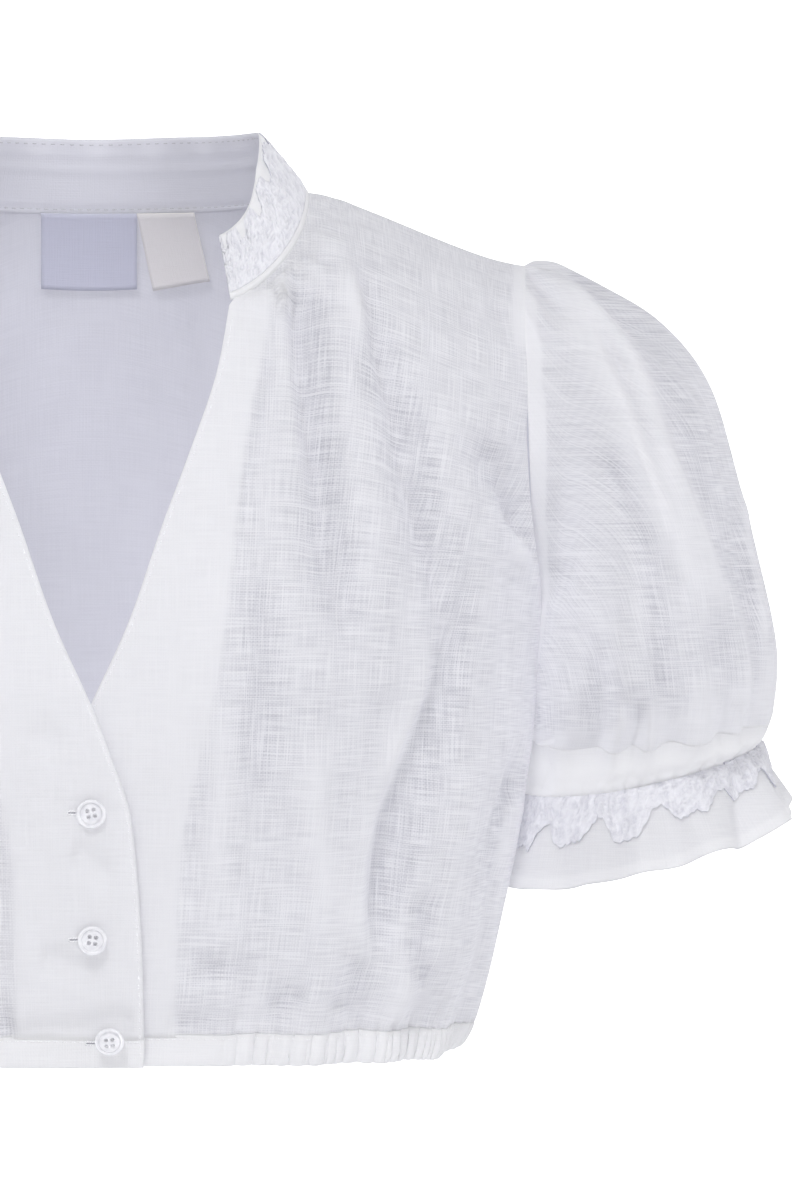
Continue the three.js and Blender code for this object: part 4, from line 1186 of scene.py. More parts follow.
@dataclass
class BodyPanels:
    """The two fronts, the back, the facings under the fronts' edges and the strips of the hem casing."""

    finishes: Finishes
    stitching: Stitching
    columns: int = 180
    rows: int = 110
    back_columns: int = 260
    over_lift: float = 2.6
    under_lift: float = -1.2
    facing_step: float = 1.5
    facing_wall: float = 0.5
    facing_rise: float = 0.35
    facing_shift: float = 1.5
    hem_wave: float = 2.0
    hem_reach: float = 34
    gather: float = 0.9
    gather_pitch: float = 3.1
    tuck: float = 2.8
    crease_strength: float = 1.25
    smooth_front: Range = (46, 60)
    corner: Range = (4.5, 5.5)
    neck_gather: float = 0.8
    allowance: Range = (7.5, 8.5)
    pucker_pitch: float = 2.45
    casing_wall: float = 0.95
    casing_columns: int = 420
    back_casing_columns: int = 640
    stitch_inset: float = 1.7

    def gathered(self, points: Array, angle: Array) -> Array:
        """How far the hem's gathers show: not beside the placket, and fully round the back."""
        return np.where(angle > 90, 1, ramp(*self.smooth_front, np.abs(points[..., 0])))

    def hem_gathers(self, points: Array, angle: Array) -> Array:
        """The cloth blouses over the hem, tucks in, and is gathered into the casing."""
        height = points[..., 2]
        above = np.maximum(height - BODICE.casing_top, 0)
        lift = self.hem_wave * bell(above / self.hem_reach) * uneven_wave(24, angle)
        reach = 9 + 5 * uneven_wave(11, angle + 40)
        drawn = pucker(angle / self.gather_pitch + 0.4 * uneven_wave(6, angle))
        lift = lift + self.gather * bell(above / reach) * drawn
        full = (0.65 + 0.35 * uneven_wave(7, angle + 15)) * (1 - ramp(52, 82, from_centre(angle)))
        lift = lift + full * self.tuck * (bell((height + 304) / 13) - bell((height + 328) / 8))
        return lift * self.gathered(points, angle)

    def rounded_corner(self, points: Array, angle: Array) -> Array:
        """Draws the hem in and up at the side seam."""
        beside = ramp(56, 89, from_centre(angle))
        low = 1 - ramp(-350, -322, points[..., 2])
        points[..., 0] -= self.corner[0] * beside * low**2
        points[..., 2] += self.corner[1] * beside**2 * low
        return points

    def neck_gathers(self, points: Array, angle: Array, station: Array) -> Array:
        """Small gathers that fan out from the collar seam."""
        from_seam = np.maximum(angle - BODICE.inner_edge(station), 0) * FOLD_MM
        high = ramp(-66, -40, points[..., 2]) * (1 - ramp(-8, -2, points[..., 2]))
        turn = np.degrees(np.arctan2(points[..., 2] + 12, points[..., 0] - 58))
        fan = bell(from_seam / 17) * ramp(0, 3, from_seam)
        return self.neck_gather * high * fan * uneven_wave(38, turn)

    def folded(self, folds: Table, layer: float, fine: tuple[Crease, ...]) -> Surface:
        """The bodice with its large folds and the waves of its gathered hem.

        Args:
            folds: the panel's folds.
            layer: how far the panel is lifted where the fronts lie on each other.
            fine: the sharper creases, for a front.

        Returns:
            A surface over the angle and the station.
        """
        broad = Folds(folds, (FOLD_MM, 1))

        def surface(angle: Array, station: Array) -> Array:
            """A point of the folded bodice at each place."""
            points = BODICE.form(angle, station)
            near = 1 - ramp(22, 62, points[..., 0])
            lift = layer * near * (1 - ramp(-200, -150, points[..., 2]))
            lift = lift + broad.lift(from_centre(angle) * FOLD_MM, points[..., 2])
            from_seam = np.abs(BODICE.outer_edge(station) - angle) * FOLD_MM
            lift = lift + self.crease_strength * crease_lift(fine, points) * ramp(0, 9, from_seam)
            lift = lift + self.hem_gathers(points, angle)
            points = points + BODICE.smooth_normals(angle, station) * lift[..., None]
            return self.rounded_corner(points, angle)

        return surface

    def front(self, name: str, surface: Surface, mirror: bool) -> None:
        """One front, cut from the collar seam to the hem casing."""
        u, v = grid(self.columns, self.rows, 0.35)
        station = BODICE.level(v, BODICE.top)
        inner, outer = BODICE.inner_edge(station), BODICE.outer_edge(station)
        angle = mix(inner, outer, u)
        points = surface(angle, station)
        height = BODICE.height(station)
        facing = BODICE.front_edge(height, "facing")
        if mirror:
            facing = facing - self.facing_shift * ramp(-190, -260, height)
        over_facing = ramp(-0.8, 0.6, facing - angle) * (height < -BODICE.collar_front_drop + 4)
        from_armhole = (outer - angle) * FOLD_MM
        turned_in = (1 - ramp(*self.allowance, from_armhole)) * ramp(-40, -33, height)
        step = self.neck_gathers(points, angle, station) + self.facing_rise * over_facing
        points = points + normals(surface, angle, station, *FINE_STEP) * step[..., None]
        # The layer mark: the facing and the seam allowance showing through, and painted light and shade along
        # the pleats.
        layers = np.maximum(np.maximum(over_facing, turned_in), pleat_light_and_shade(FRONT_CREASES, points))
        cloth = Cloth(name, points, angle * FOLD_MM, station, layers=layers, mirror=mirror)
        sew(cloth, "linen", self.finishes.linen, Cut((250, 385), 0.7, Held.GATHERED))

    def back(self, surface: Surface) -> None:
        """The whole back, from the wearer's left side round to the right one."""
        u, v = grid(self.back_columns, self.rows)
        half = 1 - 2 * u
        neck_half = float(BODICE.across(BODICE.neck_half_width, 0)[0] / BODICE.outer_edge(BODICE.top))
        # Six of each half's fourteen columns lie under the neckline
        part = np.abs(half) / (6 / 14)
        under_neck = neck_half * np.sin(np.pi / 2 * np.minimum(part, 1))
        beside_neck = mix(neck_half, 1, (part - 1) / (14 / 6 - 1))
        half = np.sign(half) * np.where(part <= 1, under_neck, beside_neck)
        angle = 180 - half * BODICE.outer_edge(BODICE.level(v, BODICE.top))
        station = BODICE.level(v, BODICE.back_top(np.abs(half)))
        cloth = Cloth("back", surface(angle, station), angle * FOLD_MM, station, layers=PLAIN_LAYERS)
        sew(cloth, "linen", self.finishes.linen, Cut((500, 370), 0.78, Held.GATHERED))

    def facing(self, name: str, surface: Surface, mirror: bool) -> None:
        """The turned-in layer under a front's edge."""
        u, v = grid(24, 80)
        station = BODICE.level(mix(0.005, 0.64, v), BODICE.top)
        height = BODICE.height(station)
        near = BODICE.front_edge(height, "edge") + 0.35
        angle = mix(near, BODICE.front_edge(height, "facing"), u)
        outward = normals(surface, angle, station, *WIDE_STEP)
        points = surface(angle, station) - outward * self.facing_step
        cloth = Cloth(name, points, angle * FOLD_MM, station, self.facing_wall, 1.0, mirror=mirror)
        sew(cloth, "double_linen", self.finishes.double_linen, Cut((58, 300), 0.65, Held.FOLDED))

    def casing(self, name: str, surface: Surface, ends: Range, columns: int, mirror: bool) -> None:
        """A strip of the hem casing, drawn up on its elastic into small puckers.

        Args:
            name: the strip's node.
            surface: what it is sewn to.
            ends: the angles at which it starts and ends.
            columns: how many columns of faces it has.
            mirror: True for the wearer's right side.
        """
        u, v = grid(columns, 14)
        foot, top = BODICE.station(BODICE.hem), BODICE.foot + 1
        angle, station = mix(*ends, u), mix(foot, top, v)
        points = surface(angle, station)
        outward = normals(surface, angle, station, *WIDE_STEP)
        wobble = 0.3 * np.sin(angle / 4.1) + 0.2 * np.sin(angle / 1.7 + 2)
        drawn = pucker(angle / self.pucker_pitch + wobble) * self.gathered(points, angle)
        ridges = drawn * (0.4 + 0.6 * np.sin(np.pi * v))
        points = points + outward * (self.gather * ridges * (1 - ramp(0.8, 1, v)))[..., None]
        low, high = np.clip(v / 0.3, 0, 1), np.clip((1 - v) / 0.7, 0, 1)
        walls = self.casing_wall + np.sqrt(1 - (1 - low) ** 2) * ramp(0, 1, high)
        cloth = Cloth(name, points, angle * FOLD_MM, station, walls, 0.45, mirror=mirror)
        flat = (abs(ends[1] - ends[0]) * FOLD_MM * 1.1, 12)
        sew(cloth, "double_linen", self.finishes.double_linen, Cut(flat, 1, Held.GATHERED))

    def stitch(
        self, surface: Surface, angle: Array, station: Array, rise: float, pitch: float, mirror: bool
    ) -> None:
        """A row of stitches that lies so many mm above a surface."""
        outward = normals(surface, angle, station, *FINE_STEP)
        self.stitching.row(surface(angle, station) + rise * outward, outward, pitch, mirror)

    def topstitch(self, surface: Surface, mirror: bool) -> None:
        """The stitches beside a front's edge, up the placket and the V."""
        height = np.linspace(BODICE.hem + 2, -BODICE.collar_front_drop - 2, 400)
        angle = BODICE.front_edge(height, "edge") + self.stitch_inset / FOLD_MM
        self.stitch(surface, angle, BODICE.station(height), 0.65, 3.4, mirror)

    def hem_stitches(self, surface: Surface, ends: Range, mirror: bool) -> None:
        """The stitches along the top of a strip of the hem casing."""
        angle = np.linspace(*ends, 900)
        self.stitch(surface, angle, np.full_like(angle, BODICE.foot - 0.4), 0.6, 3.1, mirror)

    def right_surface(self) -> Surface:
        """The right front's surface, as it is built on the wearer's left."""
        return self.folded(out_of_step(FRONT_FOLDS), self.over_lift, FRONT_CREASES + PLACKET_CREASES)

    def build(self) -> None:
        """Builds every piece of the bodice."""
        left = self.folded(FRONT_FOLDS, self.under_lift, FRONT_CREASES)
        rear = self.folded(BACK_FOLDS, 0, ())
        middle = (BODICE.hem + BODICE.casing_top) / 2
        side = float(BODICE.side_angle(BODICE.station(middle)))
        edge = float(BODICE.front_edge(middle, "edge"))
        for word, surface, mirror in (("left", left, False), ("right", self.right_surface(), True)):
            self.front(f"front_{word}", surface, mirror)
            self.facing(f"facing_{word}", surface, mirror)
            self.casing(f"casing_{word}", surface, (edge, side), self.casing_columns, mirror)
            self.topstitch(surface, mirror)
            self.hem_stitches(surface, (edge, side), mirror)
        self.back(rear)
        self.casing("casing_back", rear, (180 - side, 180 + side), self.back_casing_columns, False)
        self.hem_stitches(rear, (180 - side, 180 + side), False)


def lace_relief(along: Array, up: Array) -> tuple[Array, Array]:
    """The winding cords and the crumbly ground of dense embroidered lace.

    Args:
        along: mm along the lace.
        up: mm up from its foot.

    Returns:
        The height in mm, and from 0 to 1 how far a place lies on raised thread, which the lace's finish draws
        lighter, leaving painted shade in the low ground between cords.
    """
    wide = 1 - 2.6 * np.abs(crumple(along / 3.1, up / 2.7, 3))
    narrow = 1 - 2.6 * np.abs(crumple(along / 2.1 + 9, up / 1.9, 7))
    cords = np.clip(np.maximum(wide, narrow), -0.2, 1)
    crumbs = crumple(along / 0.95, up / 0.95, 5)
    return 0.3 + 0.5 * cords + 0.14 * crumbs, np.clip(0.3 + 0.6 * cords + 0.25 * crumbs, 0, 1)


@dataclass
class Collar:
    """The stand collar and the lace edging on its outer face."""

    finishes: Finishes
    stitching: Stitching
    corner: float = 0.46
    ease: float = 0.11
    base: float = -0.5
    end: float = 0.9985
    length: float = 390
    tall: float = 31
    binding: float = 0.1
    binding_rise: float = 0.55
    points_pitch: float = 20.5
    points_foot: float = 0.74
    points_tip: float = 0.955
    lace_rise: float = 0.9
    lace_wall: float = 0.5

    def seam(self, share: Array) -> Array:
        """The collar seam from the front end, 0, to the centre back, 1, on the wearer's left."""
        front = BODICE.front_neckline(90 * np.clip(share, 0, self.corner) / self.corner)
        back = BODICE.back_neckline(90 * (np.maximum(share, self.corner) - self.corner) / (1 - self.corner))
        on_front = share < self.corner
        return BODICE.form(np.where(on_front, front[0], back[0]), np.where(on_front, front[1], back[1]))

    def surface(self, share: Array, up: Array) -> Array:
        """The collar from -1 at the wearer's right front end to 1 at the left one, and up from the seam."""
        start = 1 - np.abs(share)
        seam = self.seam(start)
        along = self.seam(start + self.ease) - self.seam(np.maximum(start - self.ease, 0))
        outward = -unit(np.stack([-along[..., 1], along[..., 0], np.zeros_like(start)], -1))
        place = start * COLLAR_STAND.last
        lean = np.radians(COLLAR_STAND.read("lean", place))
        climb = self.base + up * COLLAR_STAND.read("height", place)
        points = seam - outward * (np.sin(lean) * climb)[..., None]
        points[..., 2] += np.cos(lean) * climb
        points[..., 0] *= np.where(share < 0, -1, 1)
        return points

    def outward(self, share: Array, up: Array) -> Array:
        """The collar's outward normals."""
        return -normals(self.surface, share, up, 0.03, 0.15)

    def band(self) -> None:
        """The collar itself, two layers of linen, with a raised binding and pressed-in creases inside."""
        u, v = grid(300, 22)
        share = mix(self.end, -self.end, u)
        bound = ramp(0, 0.02, v) * (1 - ramp(self.binding - 0.02, self.binding + 0.015, v))
        height = v + 0.04 * np.sin(4 * share + 1)
        pressed = 0.55 * bell((height - 0.62) / 0.05) + 0.4 * bell((height - 0.83) / 0.04)
        rise = self.binding_rise * bound - pressed * (1 - ramp(0.55, 0.8, np.abs(share)))
        points = self.surface(share, v) + self.outward(share, v) * rise[..., None]
        walls = 0.5 + 0.9 * np.sqrt(np.maximum(1 - (2 * v - 1) ** 8, 0))
        cloth = Cloth("collar", points, u * self.length, v * self.tall, walls, 0.55)
        sew(cloth, "double_linen", self.finishes.double_linen, Cut((400, 33), 1, Held.FOLDED))

    def lace(self) -> None:
        """The lace, sewn on by its straight foot, with plain cloth showing between its blunt points."""
        u, v = grid(690, 40)
        along = u * self.length
        level = 0 * along
        apart = np.abs((along / self.points_pitch + 0.05 * crumple(along / 9, level, 2)) % 1 - 0.41)
        ragged = 0.014 * np.sin(along * 2.7) + 0.02 * crumple(along / 3, level, 6)
        tooth = ramp(0.08, 0.3, np.minimum(apart, 1 - apart))
        up = mix(self.binding, mix(self.points_foot, self.points_tip, tooth) + ragged, v)
        relief, cords = lace_relief(along, up * self.tall)
        relief = relief * np.clip(6 * v, 0.2, 1) * np.clip(0.3 + 5 * (1 - v), 0, 1)
        share = mix(self.end, -self.end, u)
        points = self.surface(share, up) + self.outward(share, up) * (self.lace_rise + relief)[..., None]
        # The cords mark paints the lace lighter on raised thread and darker, as shade, in the ground between.
        cloth = Cloth("collar_lace", points, along, up * self.tall, self.lace_wall, cords)
        cut = Cut((400, 27), 0.8, Held.STRETCHED, ("collar_cloth",))
        sew(cloth, "cotton_lace", self.finishes.lace, cut)

    def inner_stitches(self, height: float, pitch: float) -> None:
        """A row of stitches round the collar's inner face, at a share of its height."""
        share = np.linspace(-self.end, self.end, 500)
        up = np.full_like(share, height)
        inward = -self.outward(share, up)
        # Painted shade: these stitches are drawn darker, at 0.4, where they sink into the cloth's inner face.
        self.stitching.row(self.surface(share, up) + 0.66 * inward, inward, pitch, False, 0.4)

    def build(self) -> None:
        """Builds the collar and its lace."""
        self.band()
        self.lace()
        self.inner_stitches(0.93, 4.0)
        self.inner_stitches(0.07, 3.5)


# The rings of a sleeve and of its cuff: the outer and the inner point, and how deep and sloped they are
RING_COLUMNS = "out_x out_z in_x in_z depth front_drop"
SLEEVE_RINGS = Table(
    RING_COLUMNS,
    (174, -29, 179, -195, 50, 0),
    (186.5, -30.5, 181.6, -197, 58, 0),
    (205.5, -38.5, 182, -199.5, 70, 0),
    (228.5, -53, 182, -202, 79, 1),
    (246.5, -76.5, 181.8, -205, 84, 2),
    (257.5, -111, 181.6, -208, 86, 4),
    (267, -149, 181.2, -211, 83, 5),
    (273, -184, 180.8, -215, 73, 6),
    (270.5, -209.5, 180.2, -219, 60, 7),
)
CUFF_RINGS = Table(
    RING_COLUMNS,
    (270.5, -209.7, 180.2, -219.2, 60, 7),
    (269, -215.5, 179.8, -229.5, 54.5, 6.5),
    (266.5, -219.8, 178.5, -240, 48, 6),
    (273.5, -233, 174.6, -258.5, 52, 7),
    (282.5, -247, 170.6, -277, 57.5, 7),
)
# Broad folds of a sleeve, in degrees round it and rings down it
SLEEVE_FOLDS = Table(
    FOLD_COLUMNS,
    (24, 1.4, 27, 6.8, 4, 9, -3.2),
    (46, 1.0, 60, 6.2, 7, 9, -2.8),
    (14, 5.4, 16, 8.0, 2, 8, -3.0),
    (84, 4.2, 76, 8.0, 4, 9, -3.0),
    (112, 2.0, 106, 7.8, 3, 10, 2.6),
    (330, 1.6, 326, 6.8, -5, 9, -3.0),
    (298, 1.2, 290, 6.4, -4, 10, -2.8),
    (262, 4.0, 268, 8.0, 3, 9, -2.8),
)
# Sharper creases of a sleeve, by their paths in x and z
SLEEVE_CREASES = (
    # The two long pleats from the sleeve head
    Crease(
        ((181.5, -34.5), (192.5, -40), (202.5, -48), (212.5, -62), (220.5, -79.5), (226.5, -98),
         (232.5, -114.5), (238.5, -130), (244.5, -148.5), (249.5, -164), (253, -181.5)),
        width=13, depth=3.4, flank=Flank.PLEAT, start=0.1, end=0.25,
    ),
    Crease(
        ((194, -46.5), (201.5, -65.5), (208, -81), (212.5, -94.5), (217, -110), (221, -123.5), (224, -135)),
        width=9, depth=2.0, flank=Flank.PLEAT,
    ),
    Crease(((200.5, -110), (205, -120.5), (209.5, -132)), width=3, depth=-0.9),
    Crease(
        ((197.7, -101.8), (207.5, -125), (215.2, -148.5), (221, -171.8), (225.7, -187.3)),
        width=5, depth=-2.4,
    ),
    Crease(((207.5, -94), (217, -113.5), (223, -133), (232.7, -156.2), (238, -168)), width=4, depth=2.0),
    # The outermost pleat
    Crease(
        ((256, -119), (256.5, -132.5), (259, -148), (262, -164), (263.5, -182), (266, -199.5)),
        width=5, depth=-2.2, flank=Flank.PLEAT,
    ),
    # Gathers that rise from the cuff
    Crease(((201.5, -192.5), (209, -203), (216, -216.5)), width=2.6, depth=-0.9, start=0.2, end=0.1),
    Crease(((178, -203), (181, -214), (183, -222)), width=4, depth=-1.5, start=0.2, end=0.1),
    Crease(((218.5, -166), (221, -181.5), (222, -203), (221, -219)), width=5, depth=-1.4, start=0.2, end=0.1),
    Crease(((197.5, -179.5), (199, -195), (198, -211.5)), width=5, depth=-1.1, start=0.2, end=0.1),
    Crease(
        ((243, -163), (245.5, -179.5), (244, -199), (238.5, -213)),
        width=6, depth=-1.3, start=0.2, end=0.1,
    ),
    Crease(((256.5, -203), (253, -217), (247.5, -227.5)), width=5, depth=-2.0, start=0.2, end=0.1),
    Crease(((181.5, -148.5), (184.5, -158), (181.5, -168)), width=4, depth=-0.8),
)
# Folds of the casing and the frill under it
CUFF_CREASES = (
    Crease(
        ((252.5, -224), (255.5, -240.5), (258.5, -260), (259, -275)),
        width=4, depth=-3.6, start=0.1, end=0.05,
    ),
    Crease(((247, -236), (249, -256), (249.5, -272)), width=5, depth=1.6, start=0.3, end=0.05),
    Crease(((186, -244), (187, -262), (186, -280)), width=5, depth=-1.8, start=0.2, end=0.05),
    Crease(((205, -246), (206, -262), (206.5, -280)), width=7, depth=-1.8, start=0.2, end=0.05),
    Crease(((195, -246), (196, -262), (196, -280)), width=4, depth=1.6, start=0.2, end=0.05),
    Crease(((181, -219), (185, -232), (182, -241)), width=3, depth=-1.8, start=0.1, end=0.1),
    Crease(((240, -219), (238, -228), (240, -236)), width=2.5, depth=-0.8, start=0.1, end=0.1),
)
# The points of the cuff's lace round it, and how far each hangs in the cuff's own rows
LACE_POINTS = Table(
    "angle depth",
    (17, 1.15),
    (46, 0.85),
    (77, 0.95),
    (104, 1.15),
    (129, 1.0),
    (157, 1.1),
    (182, 1.2),
    (205, 1.0),
    (228, 1.3),
    (250, 1.1),
    (272, 1.2),
    (296, 1.0),
    (320, 1.3),
    (342, 1.0),
)


@dataclass
class Sleeve:
    """A puffed sleeve with its elastic casing, its frill and the lace that edges it."""

    finishes: Finishes
    word: str
    mirror: bool
    square: float = 2.2
    ring_step: float = 24
    degree_mm: float = math.radians(70)
    elastic: float = 2
    step: Range = (5, 0.35)
    gathers: float = 16
    head_gather: float = 2.0
    foot_gather: float = 2.4
    crease_strength: float = 1.2
    weave_length: float = 1.06
    allowance: Range = (12.5, 13.5)
    frill_waves: float = 9
    frill_wave: float = 2.8
    lace_length: float = 400
    row_mm: float = 15.5

    def ring(self, table: Table, place: Array, angle: Array) -> Array:
        """Points of the ring at each place, at an angle round it from its outer line."""
        row = {name: table.read(name, place) for name in table.columns}
        turn = np.radians(angle)
        bend = lambda x: np.sign(x) * np.abs(x) ** (2 / self.square)
        out, forward = bend(np.cos(turn)), bend(np.sin(turn))
        x = (row["out_x"] + row["in_x"]) / 2 + (row["out_x"] - row["in_x"]) / 2 * out
        z = (row["out_z"] + row["in_z"]) / 2 + (row["out_z"] - row["in_z"]) / 2 * out
        return np.stack([x, -row["depth"] * forward, z - row["front_drop"] * forward], -1)

    def armhole(self, angle: Array) -> Array:
        """Where the sleeve is sewn in."""
        turn = angle % 360
        share = np.where(turn <= 180, 1 - turn / 180, turn / 180 - 1)
        station = mix(BODICE.underarm_level, BODICE.top, (1 - np.cos(np.pi * share)) / 2)
        around = BODICE.outer_edge(station)
        points = BODICE.form(np.where(turn <= 180, around, 180 - around), station)
        points[..., 0] += 1.2 * (1 - ramp(0, 0.35, share)) - 0.5
        return points

    def puff(self, angle: Array, place: Array) -> Array:
        """The sleeve's smooth skin through its rings, with the armhole in the first ring's place."""
        first = self.armhole(angle) - self.ring(SLEEVE_RINGS, np.zeros_like(place), angle)
        row = np.clip(np.floor(place), 0, SLEEVE_RINGS.last - 1)
        t = place - row
        fall = 0.5 * t * (-1 + t * (2 - t))
        share = np.where(row == 0, 1 + t * t * (-2.5 + 1.5 * t) + fall, np.where(row == 1, fall, 0))
        return self.ring(SLEEVE_RINGS, place, angle) + first * share[..., None]

    def tube(self, angle: Array, place: Array) -> Array:
        """The cuff's smooth skin, through its rings."""
        return self.ring(CUFF_RINGS, place, angle)

    def clear_of_body(self, points: Array) -> Array:
        """Moves the inner side in to lie on the bodice's side, and keeps it out of the bodice."""
        inner = 1 - ramp(184, 200, points[..., 0])
        beside = 1 - ramp(180, 214, points[..., 0])
        points[..., 1] *= 1 - 0.16 * beside * (1 - ramp(-150, -95, points[..., 2]))
        points[..., 0] -= 5.5 * inner * (1 - ramp(-195, -150, points[..., 2]))
        place = SECTIONS.place("height", np.clip(points[..., 2], -345, -60))
        depth = np.where(points[..., 1] < 0, SECTIONS.read("front", place), SECTIONS.read("back", place))
        square = SECTIONS.read("square", place)
        share = np.clip(np.abs(points[..., 1]) / depth, 0, 1)
        side = SECTIONS.read("half_width", place) * (1 - share**square) ** (1 / square)
        clear = np.maximum(points[..., 0], side + 0.5)
        points[..., 0] = np.where(points[..., 2] < -196, clear, points[..., 0])
        return points

    def cloth_map(self, points: Array, angle: Array) -> tuple[Array, Array]:
        """Where the weave lies: its threads hang down the sleeve and run level round it."""
        return angle * self.degree_mm, points[..., 2] * self.weave_length

    def beside_body(self, turn: Array) -> Array:
        """How far gathers show: little of them where the sleeve lies beside the body."""
        return mix(1, 0.25, ramp(110, 150, np.minimum(turn, 360 - turn)))

    def sleeve_surface(self, angle: Array, place: Array) -> Array:
        """The puffed sleeve with its folds, gathered into the armhole and at the cuff."""
        turn = angle % 360
        folds = Folds(SLEEVE_FOLDS, (self.degree_mm, self.ring_step))
        lift = folds.lift(turn * self.degree_mm, place * self.ring_step)
        head = ramp(0, 0.5, place) * bell(place / 1.6) * (1 - ramp(50, 85, np.minimum(turn, 360 - turn)))
        low = bell((SLEEVE_RINGS.last - place) / 1.6) * self.beside_body(turn)
        lift = lift + (self.head_gather * head + self.foot_gather * low) * uneven_wave(self.gathers, angle)
        smooth = self.puff(angle, place)
        shown = ramp(-4, 10, np.abs(smooth[..., 1])) * ramp(0, 0.25, place)
        shown = shown * np.where(smooth[..., 1] < 0, 1, 0.7)
        lift = lift + self.crease_strength * crease_lift(SLEEVE_CREASES, smooth) * shown
        return self.clear_of_body(smooth + normals(self.puff, angle, place, *self.step) * lift[..., None])

    def sleeve(self) -> None:
        """The puffed sleeve, with its seam allowance showing through beside the armhole."""
        u, v = grid(240, 100)
        angle, place = 360 * u, v * SLEEVE_RINGS.last
        points = self.sleeve_surface(angle, place)
        from_top = np.minimum(angle % 360, 360 - angle % 360)
        steps = np.linalg.norm(np.diff(points, axis=0), axis=-1)
        from_seam = np.concatenate([np.zeros((1, steps.shape[1])), np.cumsum(steps, 0)])
        allowance = (1 - ramp(*self.allowance, from_seam)) * ramp(44, 52, from_top)
        # Brighter towards the cuff: the cloth gathered above the elastic is drawn as doubled, and this also
        # paints light on the lower sleeve, which turns downwards into shade.
        wisps = 0.22 * uneven_wave(self.gathers, angle) + 0.15 * crumple(angle / 4, 0 * angle, 11)
        casing = 0.95 * ramp(SLEEVE_RINGS.last - 1.7, SLEEVE_RINGS.last - 0.6, place + wisps)
        # Painted light on the pleat ridges of the sleeve's front and painted shade in their troughs; the back
        # stays plain.
        pleats = np.where(points[..., 1] < 0, pleat_light_and_shade(SLEEVE_CREASES, points), PLAIN_LAYERS)
        layers = np.maximum(np.maximum(allowance, casing), pleats)
        maps = self.cloth_map(points, angle)
        cloth = Cloth(f"sleeve_{self.word}", points, *maps, layers=layers, tube=True, mirror=self.mirror)
        sew(cloth, "linen", self.finishes.linen, Cut((460, 225), 0.62, Held.GATHERED))

    def free_cuff(self, angle: Array, place: Array) -> Array:
        """The cuff before its top is sewn on: drawn in at its elastic, and waving out into a frill."""
        gather = 1 - 0.75 * ramp(0, CUFF_RINGS.last, place)
        flare = self.frill_wave * ramp(self.elastic, CUFF_RINGS.last, place)
        lift = gather * uneven_wave(self.gathers, angle) + flare * uneven_wave(self.frill_waves, angle + 20)
        from_elastic = place - self.elastic
        small = pucker(angle / 8.1 + 0.35 * np.sin(math.tau * angle / 120 + 1))
        lift = lift + 1.1 * bell(from_elastic / 0.5) * small - 1.3 * bell(from_elastic / 0.14)
        lift = lift * self.beside_body(angle % 360)
        smooth = self.tube(angle, place)
        lift = lift + crease_lift(CUFF_CREASES, smooth) * (smooth[..., 1] < 0)
        return self.clear_of_body(smooth + normals(self.tube, angle, place, *self.step) * lift[..., None])

    def cuff_surface(self, angle: Array, place: Array) -> Array:
        """The cuff, with its top sewn over the sleeve's edge."""
        edge = np.full_like(place, SLEEVE_RINGS.last - 0.05)
        outward = unit(np.stack([np.cos(np.radians(angle)), -np.sin(np.radians(angle)), 0 * angle], -1))
        sewn = self.sleeve_surface(angle, edge) + 0.12 * outward - self.free_cuff(angle, 0 * place)
        return self.free_cuff(angle, place) + sewn * (1 - ramp(0, 1.5, place))[..., None]

    def cuff(self) -> None:
        """The elastic casing with the frill under it, in one piece."""
        u, v = grid(240, 40)
        angle, place = 360 * u, v * CUFF_RINGS.last
        points = self.cuff_surface(angle, place)
        frill = ramp(self.elastic, self.elastic + 0.4, place) * (1 - 0.4 * ramp(0.9, 0.92, v))
        layers = mix(0.3, 1, ramp(0, 1.0, place)) * (1 - frill)
        walls = mix(0.12, 0.7, ramp(0, 0.6, place))
        maps = self.cloth_map(points, angle)
        cloth = Cloth(f"cuff_{self.word}", points, *maps, walls, layers, True, self.mirror)
        sew(cloth, "double_linen", self.finishes.double_linen, Cut((420, 50), 1, Held.GATHERED))

    def lace(self) -> None:
        """The pointed, crumpled lace that hangs from the elastic over the frill."""
        u, v = grid(520, 29)
        angle, along = 360 * u, u * self.lace_length
        level = 0 * along
        tips, depth = LACE_POINTS.columns["angle"], LACE_POINTS.columns["depth"]
        round_ = [tips[-1] - 360, *tips, tips[0] + 360]
        tooth = np.abs(2 * (np.interp(angle, round_, np.arange(-1, len(tips) + 1)) % 1) - 1)
        deep = np.interp(angle, round_, [depth[-1], *depth, depth[0]])
        scallops = 0.09 * np.sqrt(np.abs(np.sin(along * math.pi / 3.6 + 1.3 * np.sin(along / 7)))) - 0.05
        ragged = (scallops + 0.08 * crumple(along / 4, level, 8)) * np.sin(np.pi * u) ** 0.2
        place = self.elastic + mix(0.02, mix(0.6, deep, ramp(0.05, 0.65, tooth)) + ragged, v)
        relief, cords = lace_relief(along, place * self.row_mm)
        relief = relief * np.clip(0.3 + 4 * (1 - v), 0, 1) + 0.3 * v * (1 + crumple(along / 7, place * 2, 9))
        outward = normals(self.cuff_surface, angle, place, *self.step)
        points = self.cuff_surface(angle, place) + outward * (0.65 + relief)[..., None]
        name = f"cuff_lace_{self.word}"
        # The cords mark paints the lace lighter on raised thread and darker, as shade, in the ground between.
        cloth = Cloth(name, points, along, -place * self.row_mm, 0.5, cords, True, self.mirror)
        cut = Cut((400, 19), 0.8, Held.GATHERED, (f"cuff_{self.word}_cloth",))
        sew(cloth, "cotton_lace", self.finishes.lace, cut)

    def build(self) -> None:
        """Builds the sleeve, the cuff and the lace."""
        self.sleeve()
        self.cuff()
        self.lace()


